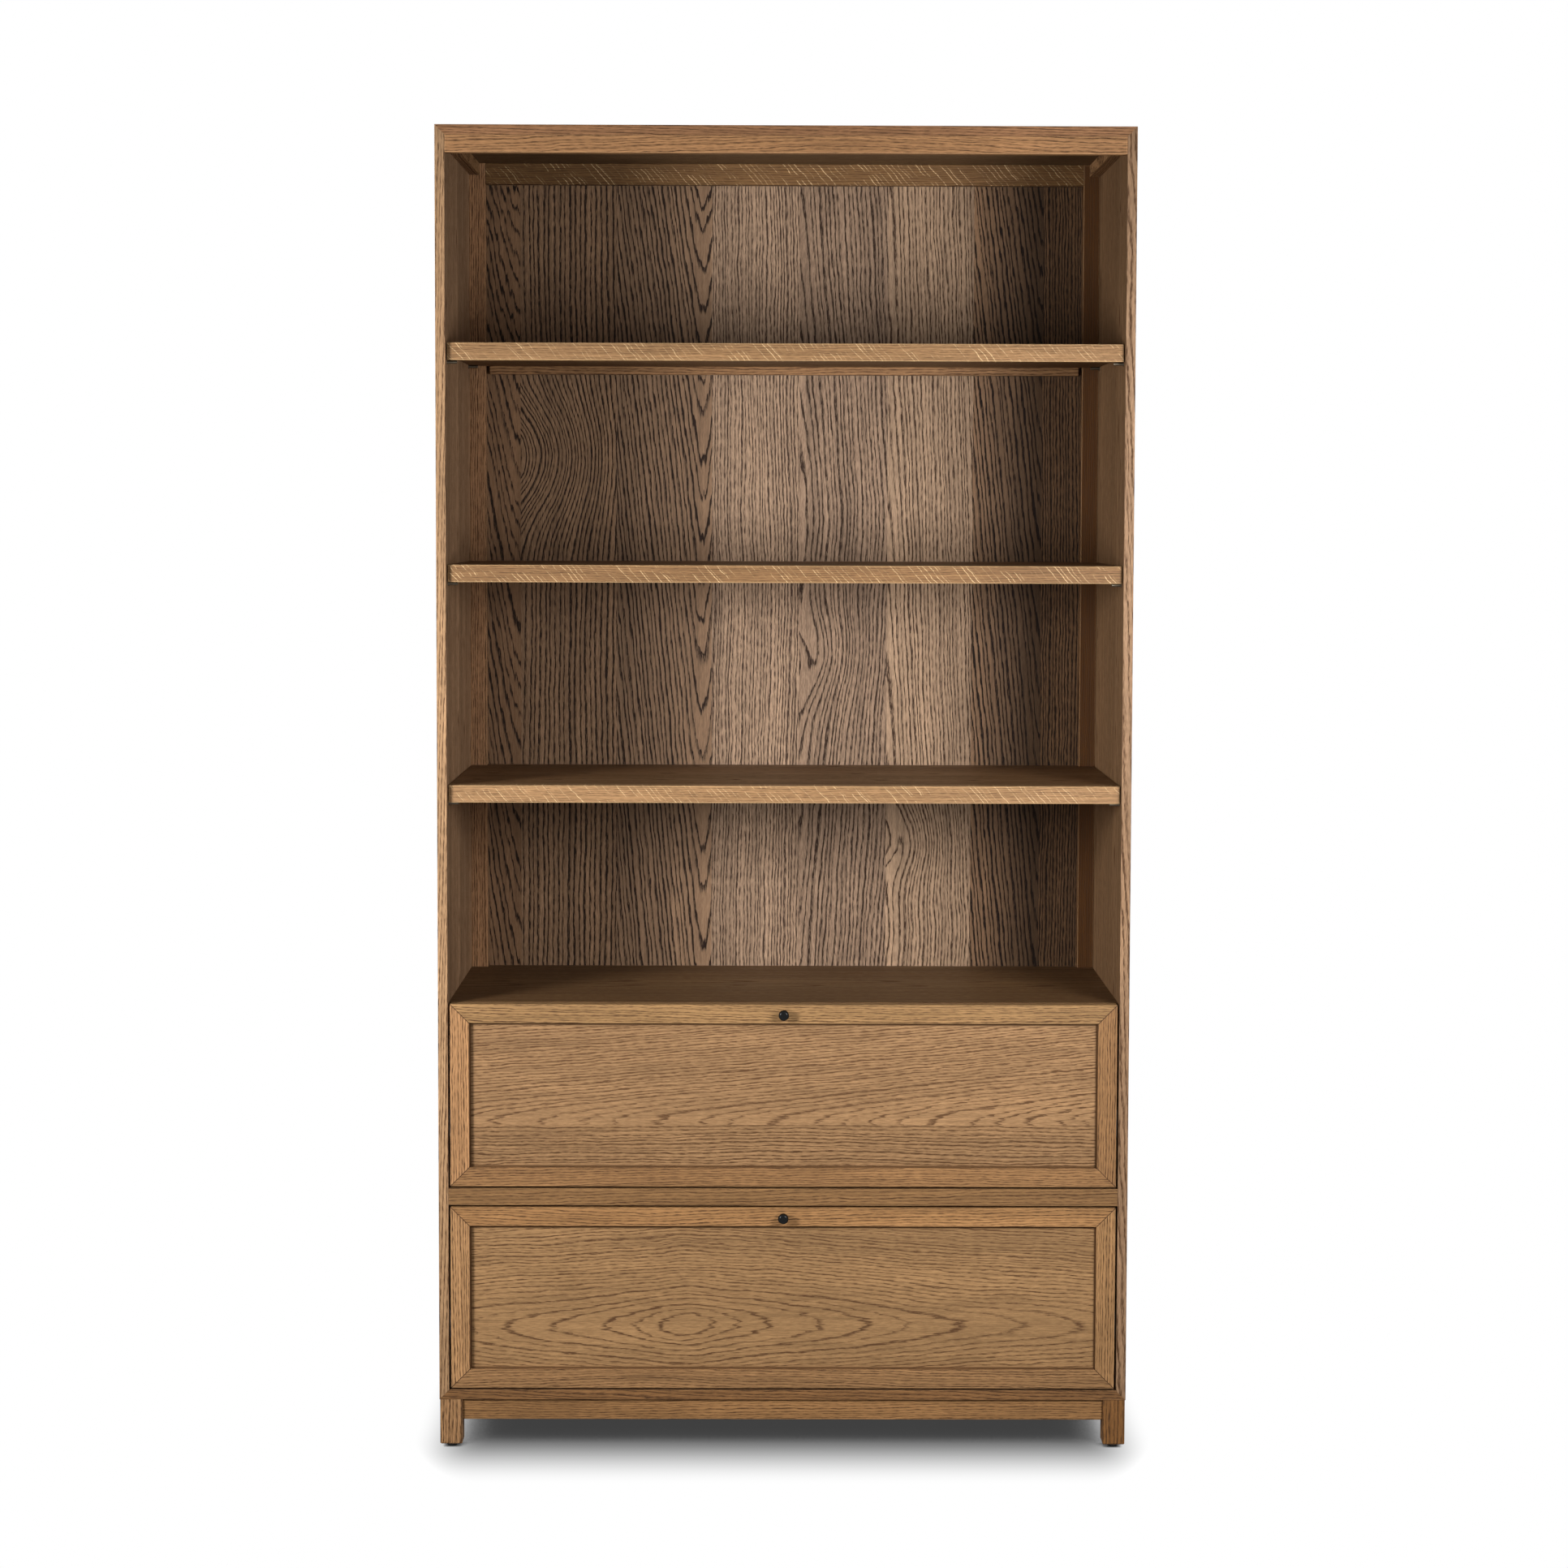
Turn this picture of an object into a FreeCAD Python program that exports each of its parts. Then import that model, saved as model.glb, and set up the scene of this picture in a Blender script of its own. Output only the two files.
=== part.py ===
# Bookcase with bottom drawers: an open oak case with three loose shelves above two framed drawers.
# Millimetres. Origin on the floor under the middle of the whole object, front towards -Y, +Z up.
import FreeCAD, Part
import math
import os
import Sketcher

doc = FreeCAD.newDocument("bookcase")
sheet = doc.addObject("Spreadsheet::Sheet", "sizes")

# Driving dimensions
driving_dimensions = [
    # case
    ("case_width", 1118),
    ("case_depth", 457),
    ("panel_thickness", 16),
    ("edge_ease", 1),
    ("cut_overrun", 5),
    # base
    ("glide_height", 6),
    ("glide_diameter", 18),
    ("glide_rim_diameter", 16),
    ("glide_nail_diameter", 3),
    ("glide_nail_length", 14),
    ("leg_height", 74),
    ("leg_width", 36),
    ("leg_inset", 1),
    ("leg_foot_round", 3),
    ("plinth_rail_height", 34),
    ("plinth_rail_thickness", 20),
    ("plinth_rail_setback", 5),
    # front rails
    ("front_rail_height", 28),
    ("front_rail_thickness", 20),
    # back
    ("back_panel_thickness", 6),
    ("back_panel_inset", 4),
    ("back_stile_width", 28),
    ("back_frame_thickness", 18),
    ("back_rail_height", 36),
    ("cleat_width", 18),
    ("cleat_height", 20),
    ("back_screw_diameter", 4),
    ("back_screw_length", 20),
    ("back_screw_head_diameter", 8),
    ("back_screw_head_height", 2.4),
    # shelf space
    ("case_top_thickness", 18),
    ("case_top_reveal", 0.5),
    ("lower_shelf_rise", 353.5),
    ("shelf_pitch", 355),
    ("top_shelf_rise", 300),
    # shelves
    ("shelf_board_thickness", 19),
    ("shelf_strip_height", 28),
    ("shelf_strip_depth", 32),
    ("shelf_setback", 10),
    ("shelf_end_gap", 1.5),
    ("shelf_notch_gap", 2),
    ("shelf_back_gap", 1),
    ("rear_strip_height", 14),
    ("rear_strip_depth", 16),
    ("rear_strip_end_gap", 6),
    # shelf pins
    ("pin_diameter", 5),
    ("pin_reach", 16),
    ("pin_seat_depth", 9),
    ("pin_collar_diameter", 8),
    ("pin_collar_thickness", 1),
    ("pin_front_place", 30),
    ("pin_rear_place", 25),
    ("fastener_gap", 0.1),
    # drawer fronts
    ("drawer_gap", 3),
    ("drawer_front_height", 298),
    ("drawer_front_thickness", 22),
    ("drawer_frame_width", 31),
    ("drawer_panel_thickness", 8),
    ("drawer_panel_recess", 9),
    ("drawer_groove_depth", 8),
    ("drawer_groove_gap", 1),
    # drawer boxes
    ("box_wall", 12),
    ("box_back_gap", 7),
    ("box_top_drop", 46),
    ("box_rise", 12),
    ("box_bottom_thickness", 6),
    ("box_bottom_rise", 10),
    ("box_groove_depth", 6),
    ("box_screw_diameter", 4),
    ("box_screw_length", 24),
    ("box_screw_head_diameter", 8),
    ("box_screw_head_height", 2),
    ("box_screw_rise", 5.5),
    # knobs
    ("knob_diameter", 17),
    ("knob_projection", 19),
    ("knob_head_thickness", 8),
    ("knob_head_round", 4.5),
    ("knob_neck_diameter", 9),
    ("knob_base_diameter", 13),
    ("knob_base_thickness", 1.6),
    ("knob_screw_diameter", 4),
    ("knob_screw_engagement", 11),
    ("knob_screw_head_diameter", 8),
    ("knob_screw_head_height", 3),
    ("knob_screw_sink", 4),
    # telescopic slides
    ("slide_height", 45),
    ("slide_width", 12.7),
    ("slide_metal", 1.2),
    ("slide_running_gap", 0.4),
    ("slide_tip_gap", 0.6),
    ("slide_back_gap", 5),
    ("slide_front_gap", 2),
    ("slide_rise", 100),
]
for row, (alias, value) in enumerate(driving_dimensions, start=1):
    sheet.set(f"A{row}", alias)
    sheet.set(f"B{row}", str(value))
    sheet.setAlias(f"B{row}", alias)
doc.recompute()

# Places and sizes that follow from the driving dimensions, as expressions on the sheet
front = "(sizes.knob_projection / 2 - sizes.case_depth / 2)"
back = f"({front} + sizes.case_depth)"
half_width = "(sizes.case_width / 2)"
opening_width = "(sizes.case_width - 2 * sizes.panel_thickness)"
inner_face = f"({opening_width} / 2)"
bottom_underside = "(sizes.glide_height + sizes.leg_height)"
bottom_surface = f"({bottom_underside} + sizes.panel_thickness)"
lower_front_base = f"({bottom_surface} + sizes.drawer_gap)"
middle_rail_base = f"({lower_front_base} + sizes.drawer_front_height + sizes.drawer_gap)"
upper_front_base = f"({middle_rail_base} + sizes.front_rail_height + sizes.drawer_gap)"
case_top_surface = f"({upper_front_base} + sizes.drawer_front_height + sizes.case_top_reveal)"
shelf_surfaces = {
    "lower": f"({case_top_surface} + sizes.lower_shelf_rise)",
    "middle": f"({case_top_surface} + sizes.lower_shelf_rise + sizes.shelf_pitch)",
    "upper": f"({case_top_surface} + sizes.lower_shelf_rise + 2 * sizes.shelf_pitch)",
}
top_rail_base = f"({shelf_surfaces['upper']} + sizes.top_shelf_rise)"
top_underside = f"({top_rail_base} + sizes.front_rail_height)"
case_height = f"({top_underside} + sizes.panel_thickness)"
back_panel_back = f"({back} - sizes.back_panel_inset)"
back_panel_face = f"({back_panel_back} - sizes.back_panel_thickness)"
back_frame_face = f"({back_panel_face} - sizes.back_frame_thickness)"
stile_inner_face = f"({inner_face} - sizes.back_stile_width)"
drawer_back_face = f"({front} + sizes.drawer_front_thickness)"
slide_front = f"({drawer_back_face} + sizes.slide_front_gap)"
slide_length = f"({back_frame_face} - {slide_front} - sizes.slide_back_gap)"
box_depth = f"({back_frame_face} - {drawer_back_face} - sizes.box_back_gap)"
box_height = "(sizes.drawer_front_height - sizes.box_rise - sizes.box_top_drop)"
pin_radius = "(sizes.pin_diameter / 2)"
drawer_bases = {"upper": upper_front_base, "lower": lower_front_base}
sides = {"left": -1, "right": 1}

# Shares of a length, for fasteners that are spread along a piece
back_screw_height_shares = (0.03, 0.22, 0.41, 0.6, 0.79, 0.97)
back_screw_width_shares = (0.25, 0.5, 0.75)
box_screw_width_shares = (0.08, 0.36, 0.64, 0.92)

# The least share of its volume that a cut takes from a piece, and of its length by which an edge may stray
least_cut_share = 1e-6
slant_share = 0.01

nodes = []


def origin_feature(body, role):
    return next(feature for feature in body.Origin.OriginFeatures if feature.Role == role)


def sketch_on(body, role, name):
    sketch = body.newObject("Sketcher::SketchObject", name)
    sketch.AttachmentSupport = [(origin_feature(body, role), "")]
    sketch.MapMode = "FlatFace"
    return sketch


def fix_point(sketch, item, place):
    """Ties a line's start, its point 1, or a circle's centre, its point 3, to two expressions."""
    position = 3 if isinstance(sketch.Geometry[item], Part.Circle) else 1
    point = sketch.getPoint(item, position)
    for kind, value, expression in zip(("DistanceX", "DistanceY"), (point.x, point.y), place):
        index = sketch.addConstraint(Sketcher.Constraint(kind, -1, 1, item, position, value))
        sketch.setExpression(f"Constraints[{index}]", expression)


def outline(body, role, name, corners):
    """A closed straight-sided outline. Its corners, in turn, are pairs of expressions."""
    sketch = sketch_on(body, role, name)
    count = len(corners)
    turns = [2 * math.pi * step / count for step in range(count)]
    start = [FreeCAD.Vector(math.cos(turn), math.sin(turn), 0) for turn in turns]
    for step in range(count):
        sketch.addGeometry(Part.LineSegment(start[step], start[(step + 1) % count]))
    for step in range(count):
        sketch.addConstraint(Sketcher.Constraint("Coincident", step, 2, (step + 1) % count, 1))
    for step, corner in enumerate(corners):
        fix_point(sketch, step, corner)
    return sketch


def rectangle(width, height):
    return [("0", "0"), (width, "0"), (width, height), ("0", height)]


def prism(name, role, corners, length, away=False):
    """A body padded from an outline on one of its own origin planes."""
    body = doc.addObject("PartDesign::Body", name)
    pad = body.newObject("PartDesign::Pad", f"{name}_pad")
    pad.Profile = outline(body, role, f"{name}_outline", corners)
    pad.Reversed = away
    pad.setExpression("Length", length)
    doc.recompute()
    return body


def ease(body, radius="sizes.edge_ease", chosen=None):
    """Rounds the edges of a body: all of them, or those that chosen accepts."""
    base = body.Tip
    fillet = body.newObject("PartDesign::Fillet", f"{body.Name}_{radius.split('.')[-1]}")
    if chosen is None:
        fillet.Base = (base, [""])
        fillet.UseAllEdges = True
    else:
        edges = enumerate(base.Shape.Edges, start=1)
        fillet.Base = (base, [f"Edge{number}" for number, edge in edges if chosen(edge)])
    fillet.setExpression("Radius", radius)
    doc.recompute()
    return body


def recompute_cut(body, name, before):
    doc.recompute()
    if body.Shape.Volume > before * (1 - least_cut_share):
        raise ValueError(f"{name} cuts nothing")


def cut_through(body, role, name, corners, away=False):
    """Pockets an outline right through a body."""
    before = body.Shape.Volume
    pocket = body.newObject("PartDesign::Pocket", name)
    pocket.Profile = outline(body, role, f"{name}_outline", corners)
    pocket.Type = "ThroughAll"
    pocket.Reversed = away
    recompute_cut(body, name, before)


def drill(body, role, name, centres, diameter, depth, level="0", away=False):
    """Drills blind holes into a body from a plane at a level along the plane's normal."""
    before = body.Shape.Volume
    sketch = sketch_on(body, role, f"{name}_centres")
    sketch.setExpression("AttachmentOffset.Base.z", level)
    for number, centre in enumerate(centres):
        sketch.addGeometry(Part.Circle(FreeCAD.Vector(number, number, 0), FreeCAD.Vector(0, 0, 1), 1))
        index = sketch.addConstraint(Sketcher.Constraint("Radius", number, 1))
        sketch.setExpression(f"Constraints[{index}]", f"({diameter}) / 2")
        fix_point(sketch, number, centre)
    pocket = body.newObject("PartDesign::Pocket", name)
    pocket.Profile = sketch
    pocket.Reversed = away
    pocket.setExpression("Length", depth)
    recompute_cut(body, name, before)


def place(thing, x, y, z, axis=None, angle=0):
    """Puts a piece at three expressions, turned by an angle about an axis."""
    if axis is not None:
        thing.Placement.Rotation = FreeCAD.Rotation(axis, angle)
    thing.setExpression("Placement.Base.x", x)
    thing.setExpression("Placement.Base.y", y)
    thing.setExpression("Placement.Base.z", z)
    return thing


def keep(thing):
    nodes.append(thing)
    return thing


def runs_along(axis):
    """Accepts straight edges that run along an axis, given as its letter."""
    across = [letter for letter in "XYZ" if letter != axis]
    return lambda edge: all(
        getattr(edge.BoundBox, f"{letter}Length") < slant_share * edge.Length for letter in across)


def on_front(edge):
    """Accepts the edges of the face that a piece turns to the front."""
    return edge.BoundBox.YMax < slant_share * edge.Length


def board(name, width, depth, height, x, y, z, eased=None):
    """A straight board with all its edges eased, or those that eased accepts."""
    piece = prism(name, "XY_Plane", rectangle(width, depth), height)
    return place(ease(piece, chosen=eased), x, y, z)


def group(name, pieces):
    """Several like pieces that share one node."""
    compound = doc.addObject("Part::Compound", name)
    compound.Links = pieces
    return keep(compound)


def cylinder(name, diameter, height, x, y, z, axis=None, angle=0):
    piece = doc.addObject("Part::Cylinder", name)
    piece.setExpression("Radius", f"{diameter} / 2")
    piece.setExpression("Height", height)
    return place(piece, x, y, z, axis, angle)


def cone(name, lower_diameter, upper_diameter, height, x, y, z, axis=None, angle=0):
    piece = doc.addObject("Part::Cone", name)
    piece.setExpression("Radius1", f"{lower_diameter} / 2")
    piece.setExpression("Radius2", f"{upper_diameter} / 2")
    piece.setExpression("Height", height)
    return place(piece, x, y, z, axis, angle)


def fused(name, pieces):
    fusion = doc.addObject("Part::MultiFuse", name)
    fusion.Shapes = pieces
    return fusion


along_x = FreeCAD.Vector(1, 0, 0)
along_y = FreeCAD.Vector(0, 1, 0)


# Case: side, top and bottom panels, mitred at their corners
def pin_heights():
    for surface in shelf_surfaces.values():
        front_height = f"({surface} - sizes.shelf_strip_height - {pin_radius})"
        rear_height = f"({surface} - sizes.shelf_board_thickness - {pin_radius})"
        yield "front", f"({front} + sizes.pin_front_place)", front_height
        yield "rear", f"({back_frame_face} - sizes.pin_rear_place)", rear_height


side_height = f"({case_height} - {bottom_underside})"
pin_hole = "sizes.pin_diameter + 2 * sizes.fastener_gap"
pin_hole_depth = "sizes.pin_seat_depth + sizes.fastener_gap"
for side, sign in sides.items():
    corners = [
        ("0", "0"),
        (f"{sign} * sizes.panel_thickness", "sizes.panel_thickness"),
        (f"{sign} * sizes.panel_thickness", f"{side_height} - sizes.panel_thickness"),
        ("0", side_height),
    ]
    corners = [(f"-1 * ({across})", up) for across, up in corners]
    panel = prism(f"{side}_side_panel", "XZ_Plane", corners, "sizes.case_depth", away=True)
    ease(panel, chosen=runs_along("Z"))
    holes = [(f"{along} - {front}", f"{up} - {bottom_underside}") for _, along, up in pin_heights()]
    level = f"{-sign} * sizes.panel_thickness"
    drill(panel, "YZ_Plane", f"{side}_pin_holes", holes, pin_hole, pin_hole_depth, level, away=sign > 0)
    keep(place(panel, f"{sign} * {half_width}", front, bottom_underside))


def mitred_panel(name, base, facing):
    """A panel with its ends cut to meet the side panels. facing is 1 for the top and -1 for the bottom."""
    corners = [
        ("0", "0"),
        ("sizes.case_width", "0"),
        ("sizes.case_width - sizes.panel_thickness", f"{-facing} * sizes.panel_thickness"),
        ("sizes.panel_thickness", f"{-facing} * sizes.panel_thickness"),
    ]
    panel = prism(name, "XZ_Plane", corners, "sizes.case_depth", away=True)
    ease(panel, chosen=runs_along("X"))
    keep(place(panel, f"-{half_width}", front, base))


mitred_panel("top_panel", case_height, facing=1)
mitred_panel("bottom_panel", bottom_underside, facing=-1)

# Rails across the front, flush with the front edges of the panels
for name, base in (("top_front_rail", top_rail_base), ("middle_front_rail", middle_rail_base)):
    keep(board(name, opening_width, "sizes.front_rail_thickness", "sizes.front_rail_height",
               f"-{inner_face}", front, base, eased=on_front))

# Two cleats under the top panel, from the front rail to the back frame
cleat_length = f"({back_frame_face} - {front} - sizes.front_rail_thickness)"
cleat_lefts = {"left": f"-{inner_face}", "right": f"{inner_face} - sizes.cleat_width"}
group("top_cleats", [
    board(f"{side}_top_cleat", "sizes.cleat_width", cleat_length, "sizes.cleat_height",
          cleat_left, f"{front} + sizes.front_rail_thickness", f"{top_underside} - sizes.cleat_height")
    for side, cleat_left in cleat_lefts.items()
])

# Back frame: two stiles from bottom to top and a rail between them, drilled for the back panel's screws
stile_height = f"({top_underside} - {bottom_surface})"
rail_length = f"(2 * {stile_inner_face})"
back_screw_hole = "sizes.back_screw_diameter + 2 * sizes.fastener_gap"
back_screw_bite = "sizes.back_screw_length - sizes.back_panel_thickness + sizes.fastener_gap"
stile_middle = "sizes.back_stile_width / 2"
rail_middle = "sizes.back_rail_height / 2"
stile_screws = [(stile_middle, f"{share} * {stile_height}") for share in back_screw_height_shares]
rail_screws = [(f"{share} * {rail_length}", rail_middle) for share in back_screw_width_shares]
stile_lefts = {"left": f"-{inner_face}", "right": stile_inner_face}
for side, stile_left in stile_lefts.items():
    stile = board(f"{side}_back_stile", "sizes.back_stile_width", "sizes.back_frame_thickness", stile_height,
                  stile_left, back_frame_face, bottom_surface, eased=on_front)
    drill(stile, "XZ_Plane", f"{side}_stile_screw_holes", stile_screws, back_screw_hole, back_screw_bite,
          "-1 * sizes.back_frame_thickness", away=True)
    keep(stile)
back_rail = board("back_top_rail", rail_length, "sizes.back_frame_thickness", "sizes.back_rail_height",
                  f"-{stile_inner_face}", back_frame_face, f"{top_underside} - sizes.back_rail_height",
                  eased=on_front)
drill(back_rail, "XZ_Plane", "back_rail_screw_holes", rail_screws, back_screw_hole, back_screw_bite,
      "-1 * sizes.back_frame_thickness", away=True)
keep(back_rail)

# Back panel: one veneered sheet between the side panels, with its screws
back_rail_base = f"({top_underside} - sizes.back_rail_height)"
back_screw_places = [
    (f"{left} + {across}", f"{bottom_surface} + {up}")
    for left in stile_lefts.values()
    for across, up in stile_screws
] + [
    (f"{across} - {stile_inner_face}", f"{back_rail_base} + {up}")
    for across, up in rail_screws
]
back_section = rectangle(opening_width, "sizes.back_panel_thickness")
back_panel = prism("back_panel", "XY_Plane", back_section, stile_height)
drill(back_panel, "XZ_Plane", "back_panel_screw_holes",
      [(f"{x} + {inner_face}", f"{z} - {bottom_surface}") for x, z in back_screw_places],
      back_screw_hole, "sizes.back_panel_thickness", "-1 * sizes.back_panel_thickness", away=True)
keep(place(back_panel, f"-{inner_face}", back_panel_face, bottom_surface))
group("back_panel_screws", [
    fused(f"back_screw_{number}", [
        cylinder(f"back_screw_shank_{number}", "sizes.back_screw_diameter", "sizes.back_screw_length",
                 x, back_panel_back, z, along_x, 90),
        cone(f"back_screw_head_{number}", "sizes.back_screw_head_diameter", "sizes.back_screw_diameter",
             "sizes.back_screw_head_height", x, back_panel_back, z, along_x, -90),
    ])
    for number, (x, z) in enumerate(back_screw_places, start=1)
])


# Boards that are notched round the back stiles
def notched(name, width, depth, height, notch_width, notch_depth):
    corners = [
        ("0", "0"),
        (width, "0"),
        (width, f"{depth} - {notch_depth}"),
        (f"{width} - {notch_width}", f"{depth} - {notch_depth}"),
        (f"{width} - {notch_width}", depth),
        (notch_width, depth),
        (notch_width, f"{depth} - {notch_depth}"),
        ("0", f"{depth} - {notch_depth}"),
    ]
    return prism(name, "XY_Plane", corners, height)


# Top of the drawer case: its front edge stands just behind the upper drawer's front
case_top_front = slide_front
case_top = notched("drawer_case_top", opening_width, f"({back_panel_face} - {case_top_front})",
                   "sizes.case_top_thickness", "sizes.back_stile_width", "sizes.back_frame_thickness")
keep(place(case_top, f"-{inner_face}", case_top_front, f"{case_top_surface} - sizes.case_top_thickness"))

# Base: legs with rounded feet, plinth rails between them, glides nailed under the legs
leg_reach = f"({half_width} - sizes.leg_inset)"
leg_lefts = {"left": f"-{leg_reach}", "right": f"{leg_reach} - sizes.leg_width"}
leg_fronts = {"front": f"{front} + sizes.leg_inset", "back": f"{back} - sizes.leg_inset - sizes.leg_width"}
nail_hole = "sizes.glide_nail_diameter + 2 * sizes.fastener_gap"
leg_middle = "sizes.leg_width / 2"
leg_section = rectangle("sizes.leg_width", "sizes.leg_width")
glides = []
for end, leg_front in leg_fronts.items():
    for side, leg_left in leg_lefts.items():
        leg = prism(f"{end}_{side}_leg", "XY_Plane", leg_section, "sizes.leg_height")
        ease(leg, "sizes.leg_foot_round", lambda edge: edge.BoundBox.ZMax < slant_share * edge.Length)
        ease(leg, chosen=runs_along("Z"))
        drill(leg, "XY_Plane", f"{end}_{side}_nail_hole", [(leg_middle, leg_middle)], nail_hole,
              "sizes.glide_nail_length + sizes.fastener_gap", away=True)
        keep(place(leg, leg_left, leg_front, "sizes.glide_height"))
        middle = (f"{leg_left} + {leg_middle}", f"{leg_front} + {leg_middle}")
        glides.append(fused(f"{end}_{side}_glide", [
            cone(f"{end}_{side}_glide_pad", "sizes.glide_rim_diameter", "sizes.glide_diameter",
                 "sizes.glide_height", *middle, "0"),
            cylinder(f"{end}_{side}_glide_nail", "sizes.glide_nail_diameter", "sizes.glide_nail_length",
                     *middle, "sizes.glide_height"),
        ]))
group("foot_glides", glides)
plinth_base = f"({bottom_underside} - sizes.plinth_rail_height)"
long_rail = f"(2 * ({leg_reach} - sizes.leg_width))"
short_rail = "(sizes.case_depth - 2 * (sizes.leg_inset + sizes.leg_width))"
rail_inset = "(sizes.leg_inset + sizes.plinth_rail_setback)"
plinth_fronts = {
    "front": f"{front} + {rail_inset}",
    "back": f"{back} - {rail_inset} - sizes.plinth_rail_thickness",
}
for end, rail_front in plinth_fronts.items():
    keep(board(f"{end}_plinth_rail", long_rail, "sizes.plinth_rail_thickness", "sizes.plinth_rail_height",
               f"-{long_rail} / 2", rail_front, plinth_base))
plinth_lefts = {
    "left": f"{rail_inset} - {half_width}",
    "right": f"{half_width} - {rail_inset} - sizes.plinth_rail_thickness",
}
group("side_plinth_rails", [
    board(f"{side}_plinth_rail", "sizes.plinth_rail_thickness", short_rail, "sizes.plinth_rail_height",
          rail_left, f"{front} + sizes.leg_inset + sizes.leg_width", plinth_base)
    for side, rail_left in plinth_lefts.items()
])

# Shelf pins: a collared stud in each hole of the side panels
pins = []
for side, sign in sides.items():
    for number, (row, along, up) in enumerate(pin_heights(), start=1):
        name = f"{side}_{row}_pin_{number}"
        turn = -sign * 90
        start = f"{sign} * ({inner_face} + sizes.pin_seat_depth)"
        pins.append(fused(name, [
            cylinder(f"{name}_stud", "sizes.pin_diameter", "sizes.pin_seat_depth + sizes.pin_reach",
                     start, along, up, along_y, turn),
            cylinder(f"{name}_collar", "sizes.pin_collar_diameter", "sizes.pin_collar_thickness",
                     f"{sign} * {inner_face}", along, up, along_y, turn),
        ]))
group("shelf_pins", pins)

# Shelves: a notched board, a taller strip along the front and a stiffener under the rear edge
shelf_length = f"({opening_width} - 2 * sizes.shelf_end_gap)"
shelf_front = f"({front} + sizes.shelf_setback)"
shelf_back = f"({back_panel_face} - sizes.shelf_back_gap)"
board_front = f"({shelf_front} + sizes.shelf_strip_depth)"
board_notch_width = "(sizes.back_stile_width - sizes.shelf_end_gap + sizes.shelf_notch_gap)"
board_notch_depth = f"({shelf_back} - {back_frame_face} + sizes.shelf_notch_gap)"
rear_strip_length = f"({rail_length} - 2 * sizes.rear_strip_end_gap)"
for level, surface in shelf_surfaces.items():
    underside = f"({surface} - sizes.shelf_board_thickness)"
    shelf_board = notched(f"{level}_shelf_board", shelf_length, f"({shelf_back} - {board_front})",
                          "sizes.shelf_board_thickness", board_notch_width, board_notch_depth)
    keep(place(shelf_board, f"-{shelf_length} / 2", board_front, underside))
    keep(board(f"{level}_shelf_front_strip",
               shelf_length, "sizes.shelf_strip_depth", "sizes.shelf_strip_height",
               f"-{shelf_length} / 2", shelf_front, f"{surface} - sizes.shelf_strip_height", eased=on_front))
    keep(board(f"{level}_shelf_rear_strip",
               rear_strip_length, "sizes.rear_strip_depth", "sizes.rear_strip_height",
               f"-{rear_strip_length} / 2", f"{shelf_back} - sizes.rear_strip_depth",
               f"{underside} - sizes.rear_strip_height"))

# Drawer fronts: a mitred frame, grooved on its inner edges for a recessed panel
front_width = f"({opening_width} - 2 * sizes.drawer_gap)"
panel_reach = "(sizes.drawer_frame_width - sizes.drawer_groove_depth + sizes.drawer_groove_gap)"
groove_top = "sizes.drawer_frame_width + sizes.cut_overrun"
groove_floor = "sizes.drawer_frame_width - sizes.drawer_groove_depth"
groove_back = "sizes.drawer_panel_recess + sizes.drawer_panel_thickness"
groove = [
    ("sizes.drawer_panel_recess", groove_floor),
    (groove_back, groove_floor),
    (groove_back, groove_top),
    ("sizes.drawer_panel_recess", groove_top),
]


def frame_member(name, length):
    """One mitred side of a drawer front, lying along X with its inner edge upwards."""
    corners = [
        ("0", "0"),
        (length, "0"),
        (f"{length} - sizes.drawer_frame_width", "sizes.drawer_frame_width"),
        ("sizes.drawer_frame_width", "sizes.drawer_frame_width"),
    ]
    member = prism(name, "XZ_Plane", corners, "sizes.drawer_front_thickness", away=True)
    cut_through(member, "YZ_Plane", f"{name}_groove", groove, away=True)
    return ease(member, chosen=lambda edge: on_front(edge) and runs_along("X")(edge))


# Drawer boxes: the front runs across, the sides and the back stand behind it, the bottom lies in grooves
box_width = f"({opening_width} - 2 * sizes.slide_width)"
box_inner_width = f"({box_width} - 2 * sizes.box_wall)"
box_bottom_groove = [
    ("sizes.box_wall - sizes.box_groove_depth", "sizes.box_bottom_rise"),
    ("sizes.box_wall + sizes.cut_overrun", "sizes.box_bottom_rise"),
    ("sizes.box_wall + sizes.cut_overrun", "sizes.box_bottom_rise + sizes.box_bottom_thickness"),
    ("sizes.box_wall - sizes.box_groove_depth", "sizes.box_bottom_rise + sizes.box_bottom_thickness"),
]
side_length = f"({box_depth} - sizes.box_wall)"
box_screw_hole = "sizes.box_screw_diameter + 2 * sizes.fastener_gap"
box_screw_bite = "sizes.box_screw_length - sizes.box_wall + sizes.fastener_gap"
box_screw_places = [f"{share} * {box_width}" for share in box_screw_width_shares]
knob_screw_hole = "sizes.knob_screw_diameter + 2 * sizes.fastener_gap"
knob_head_hole = "sizes.knob_screw_head_diameter + 2 * sizes.fastener_gap"


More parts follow.
